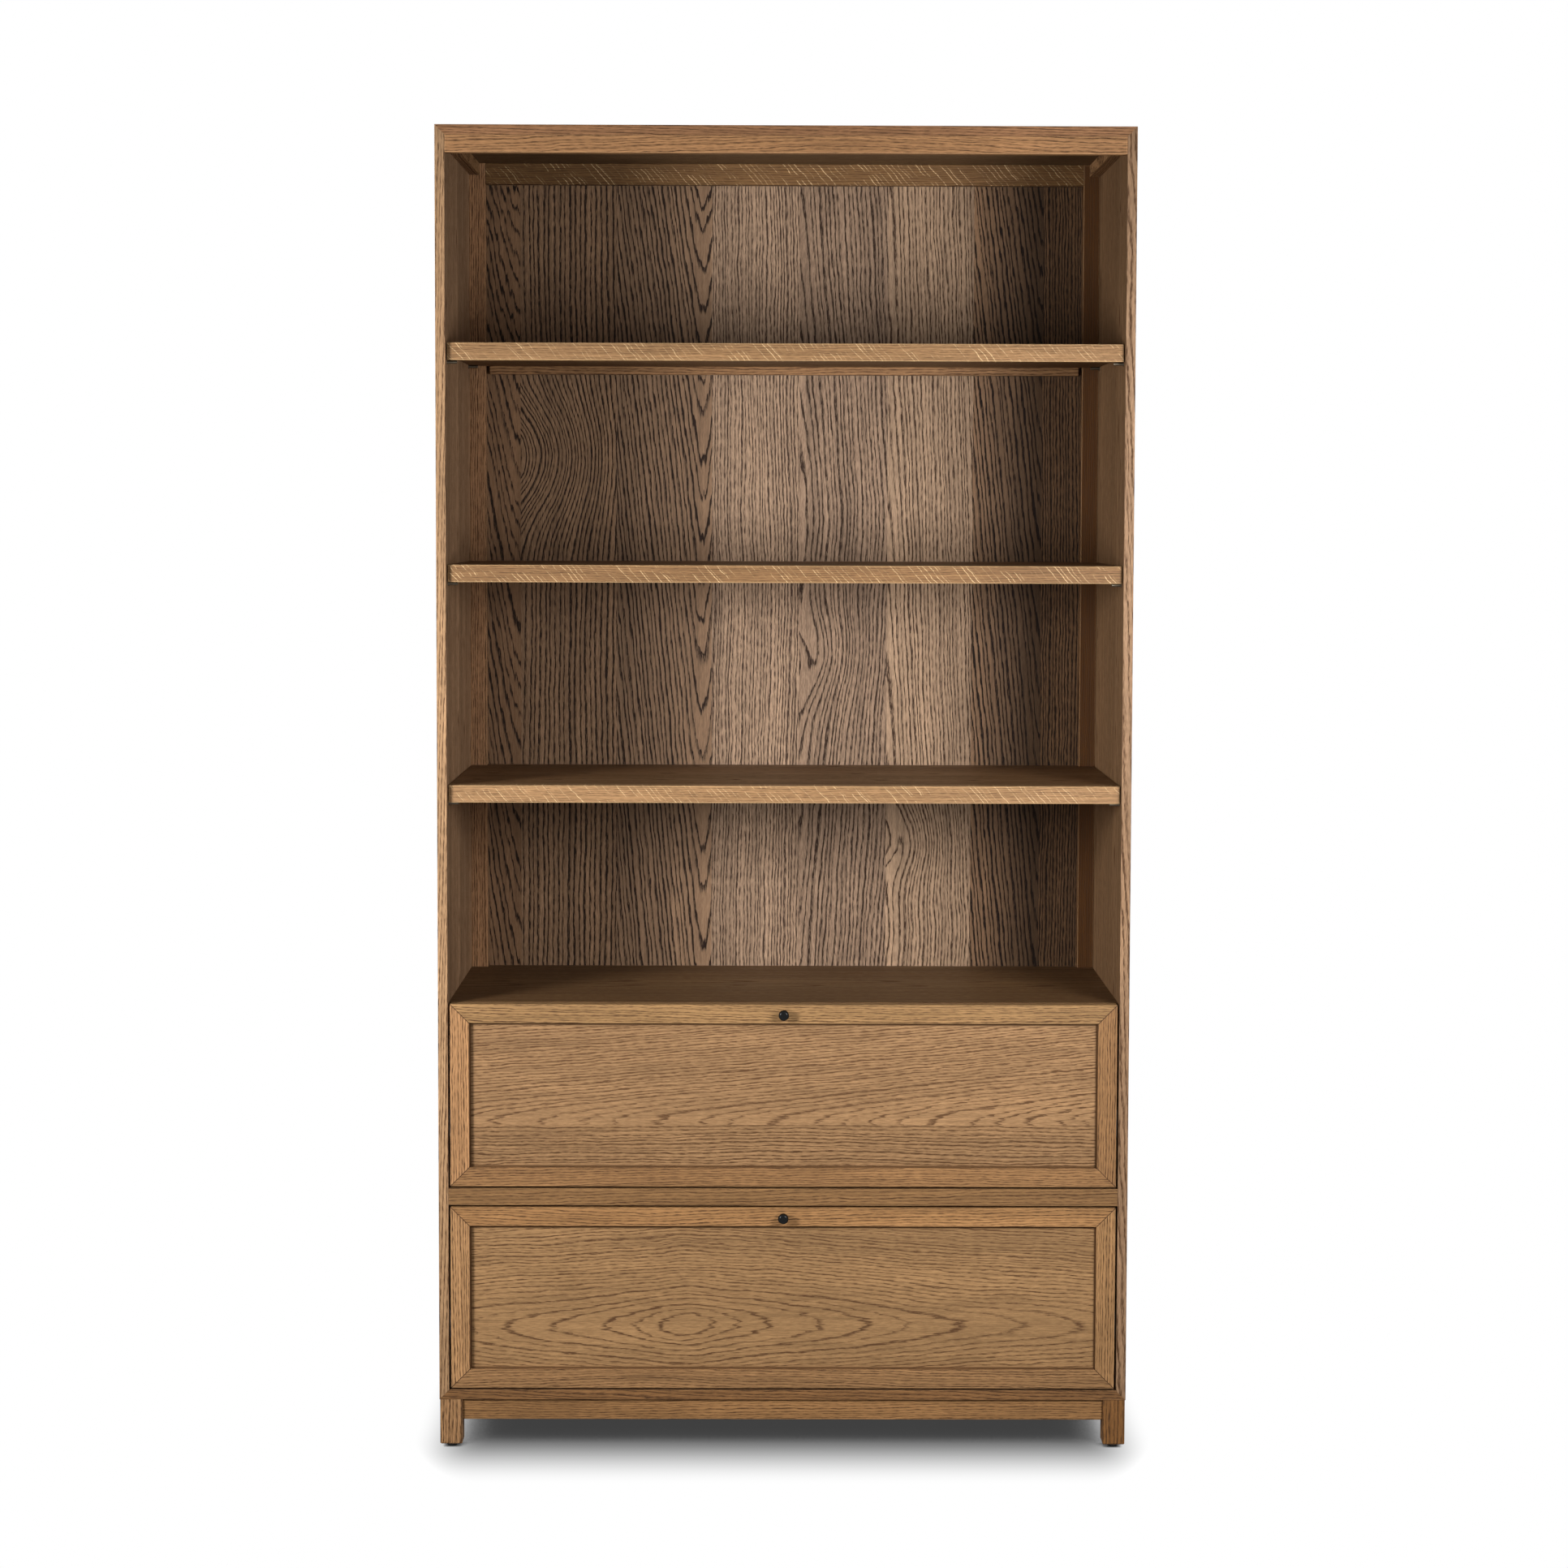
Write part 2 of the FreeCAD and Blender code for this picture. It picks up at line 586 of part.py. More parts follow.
def drawer_front(name, base):
    half_front = f"({front_width} / 2)"
    top = f"({base} + sizes.drawer_front_height)"
    box_left = f"({front_width} - {box_width}) / 2"
    screw_rise = "sizes.box_rise + sizes.box_screw_rise"
    members = {
        "bottom_rail": (front_width, f"-{half_front}", base, 0),
        "right_stile": ("sizes.drawer_front_height", half_front, base, -90),
        "top_rail": (front_width, half_front, top, 180),
        "left_stile": ("sizes.drawer_front_height", f"-{half_front}", top, 90),
    }
    for member_name, (length, x, z, angle) in members.items():
        member = frame_member(f"{name}_front_{member_name}", length)
        if member_name == "top_rail":
            centre = [(f"{length} / 2", "sizes.drawer_frame_width / 2")]
            drill(member, "XZ_Plane", f"{name}_knob_hole", centre, knob_screw_hole,
                  "sizes.drawer_front_thickness", "-1 * sizes.drawer_front_thickness", away=True)
            drill(member, "XZ_Plane", f"{name}_knob_screw_sink", centre, knob_head_hole,
                  "sizes.knob_screw_sink", "-1 * sizes.drawer_front_thickness", away=True)
        if member_name == "bottom_rail":
            centres = [(f"{box_left} + {across}", screw_rise) for across in box_screw_places]
            drill(member, "XZ_Plane", f"{name}_front_screw_holes", centres, box_screw_hole, box_screw_bite,
                  "-1 * sizes.drawer_front_thickness", away=True)
        keep(place(member, x, front, z, along_y, angle))
    panel = prism(f"{name}_front_panel", "XY_Plane",
                  rectangle(f"{front_width} - 2 * {panel_reach}", "sizes.drawer_panel_thickness"),
                  f"sizes.drawer_front_height - 2 * {panel_reach}")
    keep(place(panel, f"{panel_reach} - {half_front}", f"{front} + sizes.drawer_panel_recess",
               f"{base} + {panel_reach}"))


def drawer_box(name, base):
    box_base = f"({base} + sizes.box_rise)"
    half_box = f"({box_width} / 2)"
    half_inner = f"({box_inner_width} / 2)"
    behind_front = f"({drawer_back_face} + sizes.box_wall)"
    wall_lefts = {"left": f"-{half_box}", "right": half_inner}
    for side, wall_left in wall_lefts.items():
        wall = board(f"{name}_box_{side}_side", "sizes.box_wall", side_length, box_height,
                     wall_left, behind_front, box_base)
        inward = box_bottom_groove
        if side == "right":
            inward = [(f"sizes.box_wall - ({across})", up) for across, up in box_bottom_groove]
        cut_through(wall, "XZ_Plane", f"{name}_box_{side}_groove", inward)
        keep(wall)
    box_front = board(f"{name}_box_front", box_width, "sizes.box_wall", box_height,
                      f"-{half_box}", drawer_back_face, box_base)
    cut_through(box_front, "YZ_Plane", f"{name}_box_front_groove", box_bottom_groove, away=True)
    screw_holes = [(across, "sizes.box_screw_rise") for across in box_screw_places]
    drill(box_front, "XZ_Plane", f"{name}_box_front_screw_holes", screw_holes, box_screw_hole,
          "sizes.box_wall", "-1 * sizes.box_wall", away=True)
    keep(box_front)
    above_bottom = "(sizes.box_bottom_rise + sizes.box_bottom_thickness)"
    keep(board(f"{name}_box_back", box_inner_width, "sizes.box_wall", f"{box_height} - {above_bottom}",
               f"-{half_inner}", f"{behind_front} + {side_length} - sizes.box_wall",
               f"{box_base} + {above_bottom}"))
    bottom_width = f"({box_inner_width} + 2 * (sizes.box_groove_depth - sizes.drawer_groove_gap))"
    bottom_depth = f"({side_length} + sizes.box_groove_depth - sizes.drawer_groove_gap)"
    bottom_front = f"({behind_front} - sizes.box_groove_depth + sizes.drawer_groove_gap)"
    bottom = prism(f"{name}_box_bottom", "XY_Plane", rectangle(bottom_width, bottom_depth),
                   "sizes.box_bottom_thickness")
    keep(place(bottom, f"-{bottom_width} / 2", bottom_front, f"{box_base} + sizes.box_bottom_rise"))


# Knobs: a turned head on a neck with a small rose, held by a screw from behind the rail
knob_height_in_rail = "(sizes.drawer_front_height - sizes.drawer_frame_width / 2)"


def knob(name, base):
    """The profile runs along the knob's axis: X outwards from the axis, Y out of the drawer front."""
    body = doc.addObject("PartDesign::Body", f"{name}_knob")
    head_start = "sizes.knob_projection - sizes.knob_head_thickness"
    bore = "sizes.knob_screw_diameter / 2 + sizes.fastener_gap"
    bore_end = "sizes.knob_screw_engagement + sizes.fastener_gap"
    profile = [
        (bore, "0"),
        ("sizes.knob_base_diameter / 2", "0"),
        ("sizes.knob_base_diameter / 2", "sizes.knob_base_thickness"),
        ("sizes.knob_neck_diameter / 2", "sizes.knob_base_thickness"),
        ("sizes.knob_neck_diameter / 2", head_start),
        ("sizes.knob_diameter / 2", head_start),
        ("sizes.knob_diameter / 2", "sizes.knob_projection"),
        ("0", "sizes.knob_projection"),
        ("0", bore_end),
        (bore, bore_end),
    ]
    turning = body.newObject("PartDesign::Revolution", f"{name}_knob_turning")
    turning.Profile = outline(body, "XY_Plane", f"{name}_knob_profile", profile)
    turning.ReferenceAxis = (origin_feature(body, "Y_Axis"), [""])
    turning.Angle = 360
    doc.recompute()
    face = turning.Shape.BoundBox.YMax
    ease(body, "sizes.knob_head_round", lambda edge: edge.BoundBox.YMin > (1 - slant_share) * face)
    keep(place(body, "0", front, f"{base} + {knob_height_in_rail}", along_x, 180))


def drawer_screws(name, base):
    head_face = f"({drawer_back_face} - sizes.knob_screw_sink)"
    knob_spot = ("0", head_face, f"{base} + {knob_height_in_rail}")
    screws = [fused(f"{name}_knob_screw", [
        cylinder(f"{name}_knob_screw_shank", "sizes.knob_screw_diameter",
                 f"{head_face} - {front} + sizes.knob_screw_engagement", *knob_spot, along_x, 90),
        cylinder(f"{name}_knob_screw_head", "sizes.knob_screw_head_diameter",
                 "sizes.knob_screw_head_height", *knob_spot, along_x, -90),
    ])]
    seat = f"({drawer_back_face} + sizes.box_wall)"
    level = f"{base} + sizes.box_rise + sizes.box_screw_rise"
    for number, across in enumerate(box_screw_places, start=1):
        spot = (f"{across} - {box_width} / 2", seat, level)
        screw = f"{name}_front_screw_{number}"
        screws.append(fused(screw, [
            cylinder(f"{screw}_shank", "sizes.box_screw_diameter", "sizes.box_screw_length",
                     *spot, along_x, 90),
            cone(f"{screw}_head", "sizes.box_screw_head_diameter", "sizes.box_screw_diameter",
                 "sizes.box_screw_head_height", *spot, along_x, -90),
        ]))
    group(f"{name}_drawer_screws", screws)


# Telescopic slides: three nested channels on each side of a drawer, written from the case side inwards
middle_height = "(sizes.slide_height - 2 * (sizes.slide_metal + sizes.slide_running_gap))"
inner_height = f"({middle_height} - 2 * (sizes.slide_metal + sizes.slide_running_gap))"
inner_web = "(sizes.slide_width - sizes.slide_metal)"
flange_tip = f"({inner_web} - sizes.slide_tip_gap)"
middle_web = "(sizes.slide_metal + sizes.slide_running_gap)"
inner_tip = f"({middle_web} + sizes.slide_metal + sizes.slide_tip_gap)"
slide_members = {
    "case": ("0", flange_tip, "sizes.slide_height"),
    "middle": (middle_web, flange_tip, middle_height),
    "drawer": ("sizes.slide_width", inner_tip, inner_height),
}


def slide_member(name, side, web, tip, height, base):
    """A channel of bent sheet: a web against what carries it and two flanges that end at the tip."""
    sign = sides[side]
    metal = "sizes.slide_metal"
    web_inside = f"{web} + {metal}" if web != "sizes.slide_width" else f"{web} - {metal}"
    half = f"{height} / 2"
    section = [
        (web, f"-{half}"),
        (tip, f"-{half}"),
        (tip, f"{metal} - {half}"),
        (web_inside, f"{metal} - {half}"),
        (web_inside, f"{half} - {metal}"),
        (tip, f"{half} - {metal}"),
        (tip, half),
        (web, half),
    ]
    section = [(f"{-sign} * ({across})", up) for across, up in section]
    member = prism(name, "XZ_Plane", section, slide_length, away=True)
    return place(member, f"{sign} * {inner_face}", slide_front, f"{base} + sizes.slide_rise")


case_members = []
for name, base in drawer_bases.items():
    drawer_front(name, base)
    drawer_box(name, base)
    knob(name, base)
    drawer_screws(name, base)
    for kind, (web, tip, height) in slide_members.items():
        pair = [
            slide_member(f"{name}_{side}_slide_{kind}_member", side, web, tip, height, base)
            for side in sides
        ]
        if kind == "case":
            case_members += pair
        else:
            group(f"{name}_slide_{kind}_members", pair)
group("slide_case_members", case_members)

# Check every object, then write each sub-part to its own file
doc.recompute()
for thing in doc.Objects:
    if "Invalid" in thing.State or "Error" in thing.State:
        raise ValueError(f"{thing.Label} is {thing.State}")
os.makedirs("parts", exist_ok=True)
for node in nodes:
    if node.Shape.isNull() or not node.Shape.isValid():
        raise ValueError(f"{node.Label} has no valid shape")
    node.Shape.exportStep(f"parts/{node.Label}.step")
print(len(nodes), "nodes")
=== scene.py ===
import math

import bpy
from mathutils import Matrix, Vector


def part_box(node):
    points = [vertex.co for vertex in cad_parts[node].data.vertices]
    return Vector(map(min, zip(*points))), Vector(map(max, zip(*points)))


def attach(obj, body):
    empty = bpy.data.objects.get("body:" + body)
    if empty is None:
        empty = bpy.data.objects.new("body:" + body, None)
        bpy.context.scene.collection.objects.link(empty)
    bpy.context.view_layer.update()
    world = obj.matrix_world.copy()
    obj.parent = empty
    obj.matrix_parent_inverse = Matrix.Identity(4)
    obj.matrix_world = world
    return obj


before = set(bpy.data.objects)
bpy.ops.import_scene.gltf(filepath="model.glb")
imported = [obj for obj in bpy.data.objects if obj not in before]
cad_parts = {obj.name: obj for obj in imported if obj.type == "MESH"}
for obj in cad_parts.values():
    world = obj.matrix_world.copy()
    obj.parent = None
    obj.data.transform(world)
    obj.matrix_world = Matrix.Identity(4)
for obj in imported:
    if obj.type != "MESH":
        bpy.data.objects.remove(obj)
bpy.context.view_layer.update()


# Legs: four short square posts of solid oak under the corners of the case, glued to the plinth rails.
# Each is sawn along the grain, so its faces show straight yearly lines, and the brown stain has settled
# in the pores. The function for oak stands here because the legs are the first oak pieces.
MM = 1000  # millimetres in a metre


def linear(colour, share=1.0):
    """An sRGB hex colour as the linear values that a shader takes, made darker or lighter by a share."""
    parts = [int(colour[start:start + 2], 16) / 255 for start in (1, 3, 5)]
    light = [part / 12.92 if part <= 0.04045 else ((part + 0.055) / 1.055) ** 2.4 for part in parts]
    return [part * share for part in light] + [1.0]


def add(tree, kind, inputs=None, **settings):
    """Adds one node, gives it its settings, and sets its inputs or links them to other nodes.
    An input goes by its name, or by its place where the node has several of one name."""
    node = tree.nodes.new("ShaderNode" + kind)
    for setting, value in settings.items():
        setattr(node, setting, value)
    for socket, value in (inputs or {}).items():
        if isinstance(value, bpy.types.Node):
            value = next(output for output in value.outputs if output.enabled)
        if isinstance(value, bpy.types.NodeSocket):
            tree.links.new(value, node.inputs[socket])
        else:
            node.inputs[socket].default_value = value
    return node


def empty_material(name):
    """A new material whose node tree is still empty."""
    material = bpy.data.materials.new(name)
    material.use_nodes = True
    material.node_tree.nodes.clear()
    return material


def oak(name, grain, pith, ring, seed, eye=0, eye_length=60, tip=300, wander=10, leaf=0, fleck=0, knot=None,
        mitre=None, recess_shade_opening=None, painted_shade_span=None, lipping=None, edge=None, late="#B28A60", early="#4A321F",
        strength=1.0, line_width=2.2, pore=0.34):
    """Stained oak with a satin lacquer. It shows thin broken dark lines, one for each year's open early
    pores, arches where the saw leaves the core of the log, and pale ray flecks on quarter-sawn faces.
    The grain names the axes along the board, across it and into it, and the pith is where the log's core
    lies, across and inward. The arches close at the eye, and a larger tip draws them out. Late and early
    are the colours of dense wood and open pores. Painted shade may be laid over a span across the sheet
    and round a panel's recess, and a painted highlight along the edges. Lengths are in millimetres, but
    mitre and recess_shade_opening in metres."""
    material = empty_material(name)
    tree = material.node_tree
    place = add(tree, "TexCoord")
    metres = add(tree, "SeparateXYZ", {"Vector": place.outputs["Object"]})
    along, across, inward = [
        add(tree, "Math", {0: metres.outputs[axis], 1: MM}, operation="MULTIPLY") for axis in grain
    ]
    if leaf:
        # A veneered face is laid from sheets of one width; each sheet is its own slice of the log.
        log_length = 2400
        count = add(tree, "Math", {0: across, 1: leaf}, operation="DIVIDE")
        number = add(tree, "Math", {0: count}, operation="FLOOR")
        draw = add(tree, "Math", {0: number, 1: seed}, operation="ADD")
        sheet = add(tree, "TexWhiteNoise", {"W": draw}, noise_dimensions="1D")
        own = add(tree, "SeparateColor", {"Color": sheet.outputs["Color"]}).outputs
        middle = add(tree, "Math", {0: number, 1: leaf, 2: pith[0] + leaf / 2}, operation="MULTIPLY_ADD")
        aside = add(tree, "Math", {0: own["Red"], 1: leaf, 2: middle}, operation="MULTIPLY_ADD")
        across_log = add(tree, "Math", {0: across, 1: aside}, operation="SUBTRACT")
        along_log = add(tree, "Math", {0: own["Green"], 1: log_length, 2: along}, operation="MULTIPLY_ADD")
        pith_across = -leaf / 2
    else:
        across_log, along_log, pith_across = across, along, pith[0]
    log_place = add(tree, "CombineXYZ", {"X": along_log, "Y": across_log, "Z": inward})

    # Everything irregular comes from noises that are stretched along the grain.
    # Real pores are a quarter of a millimetre wide; they are drawn about 2 mm wide so that they show.
    noise = {}
    for kind, length, width, offset, detail, roughness in [
        ("crooked", 260, 90, (seed, seed * 2, 0), 3, 0.5),
        ("tremor", 38, 16, (seed * 3, 0, seed), 2, 0.5),
        ("teeth", 120, 5, (0, seed, seed), 2, 0.6),
        ("pores", 14, 1.7, (seed, 0, 0), 2, 0.6),
        ("patches", 500, 45, (0, seed, seed), 3, 0.6),
        ("streaks", 150, 5, (seed, 0, seed), 2, 0.6),
    ]:
        stretched = add(tree, "Mapping", {
            "Vector": log_place, "Location": offset, "Scale": (1 / length, 1 / width, 1 / width)})
        noise[kind] = add(tree, "TexNoise", {
            "Vector": stretched, "Scale": 1, "Detail": detail, "Roughness": roughness})

    # The trunk grew a little crooked, so the lines wander sideways over a hand's length.
    tremble = 5
    shift = add(tree, "Math", {0: noise["crooked"], 1: 2 * wander, 2: -wander}, operation="MULTIPLY_ADD")
    waver = add(tree, "Math", {0: noise["tremor"], 1: tremble, 2: shift}, operation="MULTIPLY_ADD")
    bent = add(tree, "Math", {0: across_log, 1: waver}, operation="ADD")
    if knot:
        # The lines flow round a knot that lies just behind the face.
        knot_across, knot_along, knot_size, push = knot
        away = add(tree, "VectorMath", {0: log_place, 1: (knot_along, knot_across, 0)}, operation="SUBTRACT")
        flat = add(tree, "VectorMath", {0: away, 1: (1 / knot_size, 0.8 / knot_size, 0)},
                   operation="MULTIPLY")
        near = add(tree, "VectorMath", {0: flat, 1: flat}, operation="DOT_PRODUCT").outputs["Value"]
        fade = add(tree, "Math", {0: 1 / math.e, 1: near}, operation="POWER")
        bent = add(tree, "Math", {0: fade, 1: -push, 2: bent}, operation="MULTIPLY_ADD")
    bent_place = add(tree, "CombineXYZ", {"Y": bent, "Z": inward})
    radius = add(tree, "VectorMath", {0: bent_place, 1: (0, pith_across, pith[1])},
                 operation="DISTANCE").outputs["Value"]

    # Bundles of pores reach past each other, so the arches have teeth along the grain.
    tooth, taper = 45, 0.75
    toothed = add(tree, "Math", {0: noise["teeth"], 1: tooth, 2: along_log}, operation="MULTIPLY_ADD")
    toothed_place = add(tree, "CombineXYZ", {"X": toothed})
    run = add(tree, "VectorMath", {0: toothed_place, 1: (eye, eye_length, 0)},
              operation="DISTANCE").outputs["Value"]
    tips = add(tree, "Math", {0: run, 1: tip}, operation="DIVIDE")
    reach = add(tree, "Math", {0: tips, 1: taper}, operation="POWER")
    # Good and poor years take turns, so the rings are not all of one width.
    unevenness = 1.1
    even_years = add(tree, "Math", {0: radius, 1: 1 / ring, 2: reach}, operation="MULTIPLY_ADD")
    weather = add(tree, "Math", {0: even_years, 1: 0.37, 2: seed}, operation="MULTIPLY_ADD")
    uneven = add(tree, "TexNoise", {"W": weather, "Scale": 1, "Detail": 1}, noise_dimensions="1D")
    years = add(tree, "Math", {0: uneven, 1: unevenness, 2: even_years}, operation="MULTIPLY_ADD")
    season = add(tree, "Math", {0: years}, operation="FRACT")
    year = add(tree, "Math", {0: years}, operation="FLOOR")
    vigour = add(tree, "TexWhiteNoise", {"W": year}, noise_dimensions="1D")

    # Each year starts with a sharp row of open pores that thins out into dense late wood. The row is about as
    # wide on every face, and spreads only where the saw runs almost along the ring.
    thinnest, widest = 0.13, 0.5
    sideways = add(tree, "Math", {0: bent, 1: pith_across}, operation="SUBTRACT")
    slope_across = add(tree, "Math", {0: sideways, 1: radius}, operation="DIVIDE")
    across_rate = add(tree, "Math", {0: slope_across, 1: 1 / ring}, operation="MULTIPLY")
    lengthways = add(tree, "Math", {0: along_log, 1: eye}, operation="SUBTRACT")
    slope_along = add(tree, "Math", {0: lengthways, 1: run}, operation="DIVIDE")
    mean_reach = add(tree, "Math", {0: reach, 1: run}, operation="DIVIDE")
    reach_rate = add(tree, "Math", {0: mean_reach, 1: taper}, operation="MULTIPLY")
    along_rate = add(tree, "Math", {0: reach_rate, 1: slope_along}, operation="MULTIPLY")
    rates = add(tree, "CombineXYZ", {"X": across_rate, "Y": along_rate})
    rate = add(tree, "VectorMath", {0: rates}, operation="LENGTH").outputs["Value"]
    row_width = add(tree, "Math", {0: rate, 1: line_width, 2: thinnest}, operation="MULTIPLY_ADD")
    row_share = add(tree, "Math", {0: row_width, 1: widest}, operation="MINIMUM")
    into_row = add(tree, "Math", {0: season, 1: row_share}, operation="DIVIDE")
    spring = add(tree, "MapRange", {
        "Value": into_row, "From Min": 0.3, "From Max": 1.1, "To Min": 1, "To Max": 0
    }, interpolation_type="SMOOTHSTEP")
    frost = add(tree, "MapRange", {"Value": season, "From Min": 0.95, "From Max": 1.0})
    row = add(tree, "Math", {0: spring, 1: frost}, operation="MAXIMUM")
    pores = add(tree, "MapRange", {"Value": noise["pores"], "From Min": 0.4, "From Max": 0.6})
    open_row = add(tree, "MapRange", {"Value": pores, "To Min": 0.5, "To Max": 1.0})
    strong = add(tree, "MapRange", {
        "Value": vigour.outputs["Value"], "To Min": 0.55 * strength, "To Max": 1.25 * strength})
    broken_row = add(tree, "Math", {0: row, 1: open_row}, operation="MULTIPLY")
    line = add(tree, "Math", {0: broken_row, 1: strong}, operation="MULTIPLY")
    dark = add(tree, "Math", {0: pores, 1: pore * strength, 2: line},
               operation="MULTIPLY_ADD", use_clamp=True)

    # The stain takes unevenly, so the colour drifts slowly along and across the board.
    deep_share = 0.6
    stain = add(tree, "Math", {0: noise["patches"], 1: noise["streaks"]}, operation="ADD")
    drift = add(tree, "MapRange", {"Value": stain, "From Min": 0.7, "From Max": 1.3})
    ground = add(tree, "Mix", {"Factor": drift, "A": linear(late, deep_share), "B": linear(late)},
                 data_type="RGBA")
    if leaf:
        sheet_tone = add(tree, "MapRange", {"Value": own["Blue"], "To Min": 0.72, "To Max": 1.05})
        ground = add(tree, "Mix", {"Factor": 1.0, "A": ground, "B": sheet_tone},
                     data_type="RGBA", blend_type="MULTIPLY")
    if painted_shade_span:
        # Painted shadow: the sheet darkens evenly from one edge to the other, standing for the shadow that the
        # case side casts over it.
        sap_edge, heart_edge, depth = painted_shade_span
        tone = add(tree, "MapRange", {
            "Value": across, "From Min": sap_edge, "From Max": heart_edge, "To Min": 1.0, "To Max": depth})
        ground = add(tree, "Mix", {"Factor": 1.0, "A": ground, "B": tone},
                     data_type="RGBA", blend_type="MULTIPLY")
    if lipping:
        # A solid strip of paler oak covers the board's front edge.
        facing = add(tree, "SeparateXYZ", {"Vector": place.outputs["Normal"]})
        front = add(tree, "Math", {0: facing.outputs["Y"], 1: -0.6}, operation="LESS_THAN")
        strip = add(tree, "Mix", {"Factor": drift, "A": linear(lipping, deep_share), "B": linear(lipping)},
                    data_type="RGBA")
        ground = add(tree, "Mix", {"Factor": front, "A": ground, "B": strip}, data_type="RGBA")
    if fleck:
        # The rays cross the board as thin straight slanting strokes, about a finger's width apart and in
        # loose drifts.
        slant, sway, finger, drift_length, drift_width = 0.9, 9, 10, 70, 16
        slanted = add(tree, "Math", {0: across_log, 1: slant, 2: along_log}, operation="MULTIPLY_ADD")
        lean = add(tree, "Math", {0: noise["tremor"], 1: sway, 2: slanted}, operation="MULTIPLY_ADD")
        strokes = add(tree, "TexVoronoi", {"W": lean, "Scale": 1 / finger, "Randomness": 1.0},
                      voronoi_dimensions="1D", feature="F1")
        ridge = add(tree, "MapRange", {
            "Value": strokes.outputs["Distance"],
            "From Min": 0.03, "From Max": 0.11, "To Min": fleck, "To Max": 0
        }, interpolation_type="SMOOTHSTEP")
        own_light = add(tree, "SeparateColor", {"Color": strokes.outputs["Color"]}).outputs["Red"]
        stretched = add(tree, "Mapping", {
            "Vector": log_place, "Location": (0, seed, 0),
            "Scale": (1 / drift_length, 1 / drift_width, 1 / drift_width)})
        drifts = add(tree, "TexNoise", {"Vector": stretched, "Scale": 1, "Detail": 2})
        shown = add(tree, "MapRange", {
            "Value": drifts, "From Min": 0.4, "From Max": 0.54, "To Max": own_light})
        flecked = add(tree, "Math", {0: ridge, 1: shown}, operation="MULTIPLY")
        ground = add(tree, "Mix", {"Factor": flecked, "A": ground, "B": linear("#E8C796")}, data_type="RGBA")

    if mitre or recess_shade_opening:
        from_centre = add(tree, "Math", {0: metres.outputs["X"]}, operation="ABSOLUTE")
    if mitre:
        # Glue and stain gather in the joint, so a hair line crosses the corner; it is drawn 1 mm wide so
        # that it shows.
        half_width, middle_height, half_height = mitre
        hair_line = 0.0009
        from_side = add(tree, "Math", {0: half_width, 1: from_centre}, operation="SUBTRACT")
        raised = add(tree, "Math", {0: metres.outputs["Z"], 1: middle_height}, operation="SUBTRACT")
        from_middle = add(tree, "Math", {0: raised}, operation="ABSOLUTE")
        from_end = add(tree, "Math", {0: half_height, 1: from_middle}, operation="SUBTRACT")
        joint = add(tree, "Math", {0: from_side, 1: from_end, 2: hair_line}, operation="COMPARE")
        dark = add(tree, "Math", {0: joint, 1: 0.75, 2: dark}, operation="MULTIPLY_ADD", use_clamp=True)
    if recess_shade_opening:
        # Painted shade: a dark line about 3 mm wide runs round the panel where it enters its frame, and a
        # wider one under the top rail, standing for the shadow in the recess.
        half_width, low, high = recess_shade_opening
        rail_shadow_reach = 0.0018
        beside = add(tree, "Math", {0: half_width, 1: from_centre}, operation="SUBTRACT")
        below = add(tree, "Math", {0: high - rail_shadow_reach, 1: metres.outputs["Z"]}, operation="SUBTRACT")
        above = add(tree, "Math", {0: metres.outputs["Z"], 1: low}, operation="SUBTRACT")
        nearest_rail = add(tree, "Math", {0: below, 1: above}, operation="MINIMUM")
        nearest = add(tree, "Math", {0: beside, 1: nearest_rail}, operation="MINIMUM")
        painted_recess_shade = add(tree, "MapRange", {
            "Value": nearest, "From Min": 0.0008, "From Max": 0.0042, "To Min": 0.95, "To Max": 0
        }, interpolation_type="SMOOTHSTEP")
        dark = add(tree, "Math", {0: dark, 1: painted_recess_shade}, operation="MAXIMUM")
    colour = add(tree, "Mix", {"Factor": dark, "A": ground, "B": linear(early)}, data_type="RGBA")
    if edge:
        # Painted highlight: a pale line along the edges stands for the light that the broken edges catch; it
        # is half a millimetre wide and drawn at 2 mm to show.
        rounded = add(tree, "Bevel", {"Radius": 0.0025}, samples=4)
        flat_face = add(tree, "NewGeometry").outputs["Normal"]
        square = add(tree, "VectorMath", {0: rounded, 1: flat_face}, operation="DOT_PRODUCT").outputs["Value"]
        painted_edge_highlight = add(tree, "MapRange", {"Value": square, "From Min": 0.99, "From Max": 0.85, "To Max": 0.9})
        colour = add(tree, "Mix", {"Factor": painted_edge_highlight, "A": colour, "B": linear(edge)}, data_type="RGBA")

    # The lacquer is duller over open pores. Every edge is broken with sandpaper, so a thin line along it
    # catches the light.
    gloss = add(tree, "MapRange", {"Value": dark, "To Min": 0.44, "To Max": 0.66})
    sanded = add(tree, "Bevel", {"Radius": 0.001}, samples=4)
    height = add(tree, "Math", {0: 1.0, 1: dark}, operation="SUBTRACT")
    relief = add(tree, "Bump", {"Strength": 0.5, "Distance": 0.0005, "Normal": sanded, "Height": height})
    shader = add(tree, "BsdfPrincipled", {
        "Base Color": colour, "Roughness": gloss, "Normal": relief, "IOR": 1.5, "Specular IOR Level": 0.12})
    add(tree, "OutputMaterial", {"Surface": shader})
    return material


def dress(node, material):
    """Gives a piece of the case its finish."""
    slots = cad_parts[node].data.materials
    slots.clear()
    slots.append(material)


def sawn(node, grain, aside, depth, ring, seed, **figure):
    """Dresses one oak piece sawn from a log whose pith lies aside of the piece's middle and behind it."""
    low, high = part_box(node)
    middle = {axis: (low[place] + high[place]) * MM / 2 for place, axis in enumerate("XYZ")}
    pith = (middle[grain[1]] + aside, middle[grain[2]] + depth)
    dress(node, oak("stained_oak_" + node, grain, pith, ring, seed, **figure))
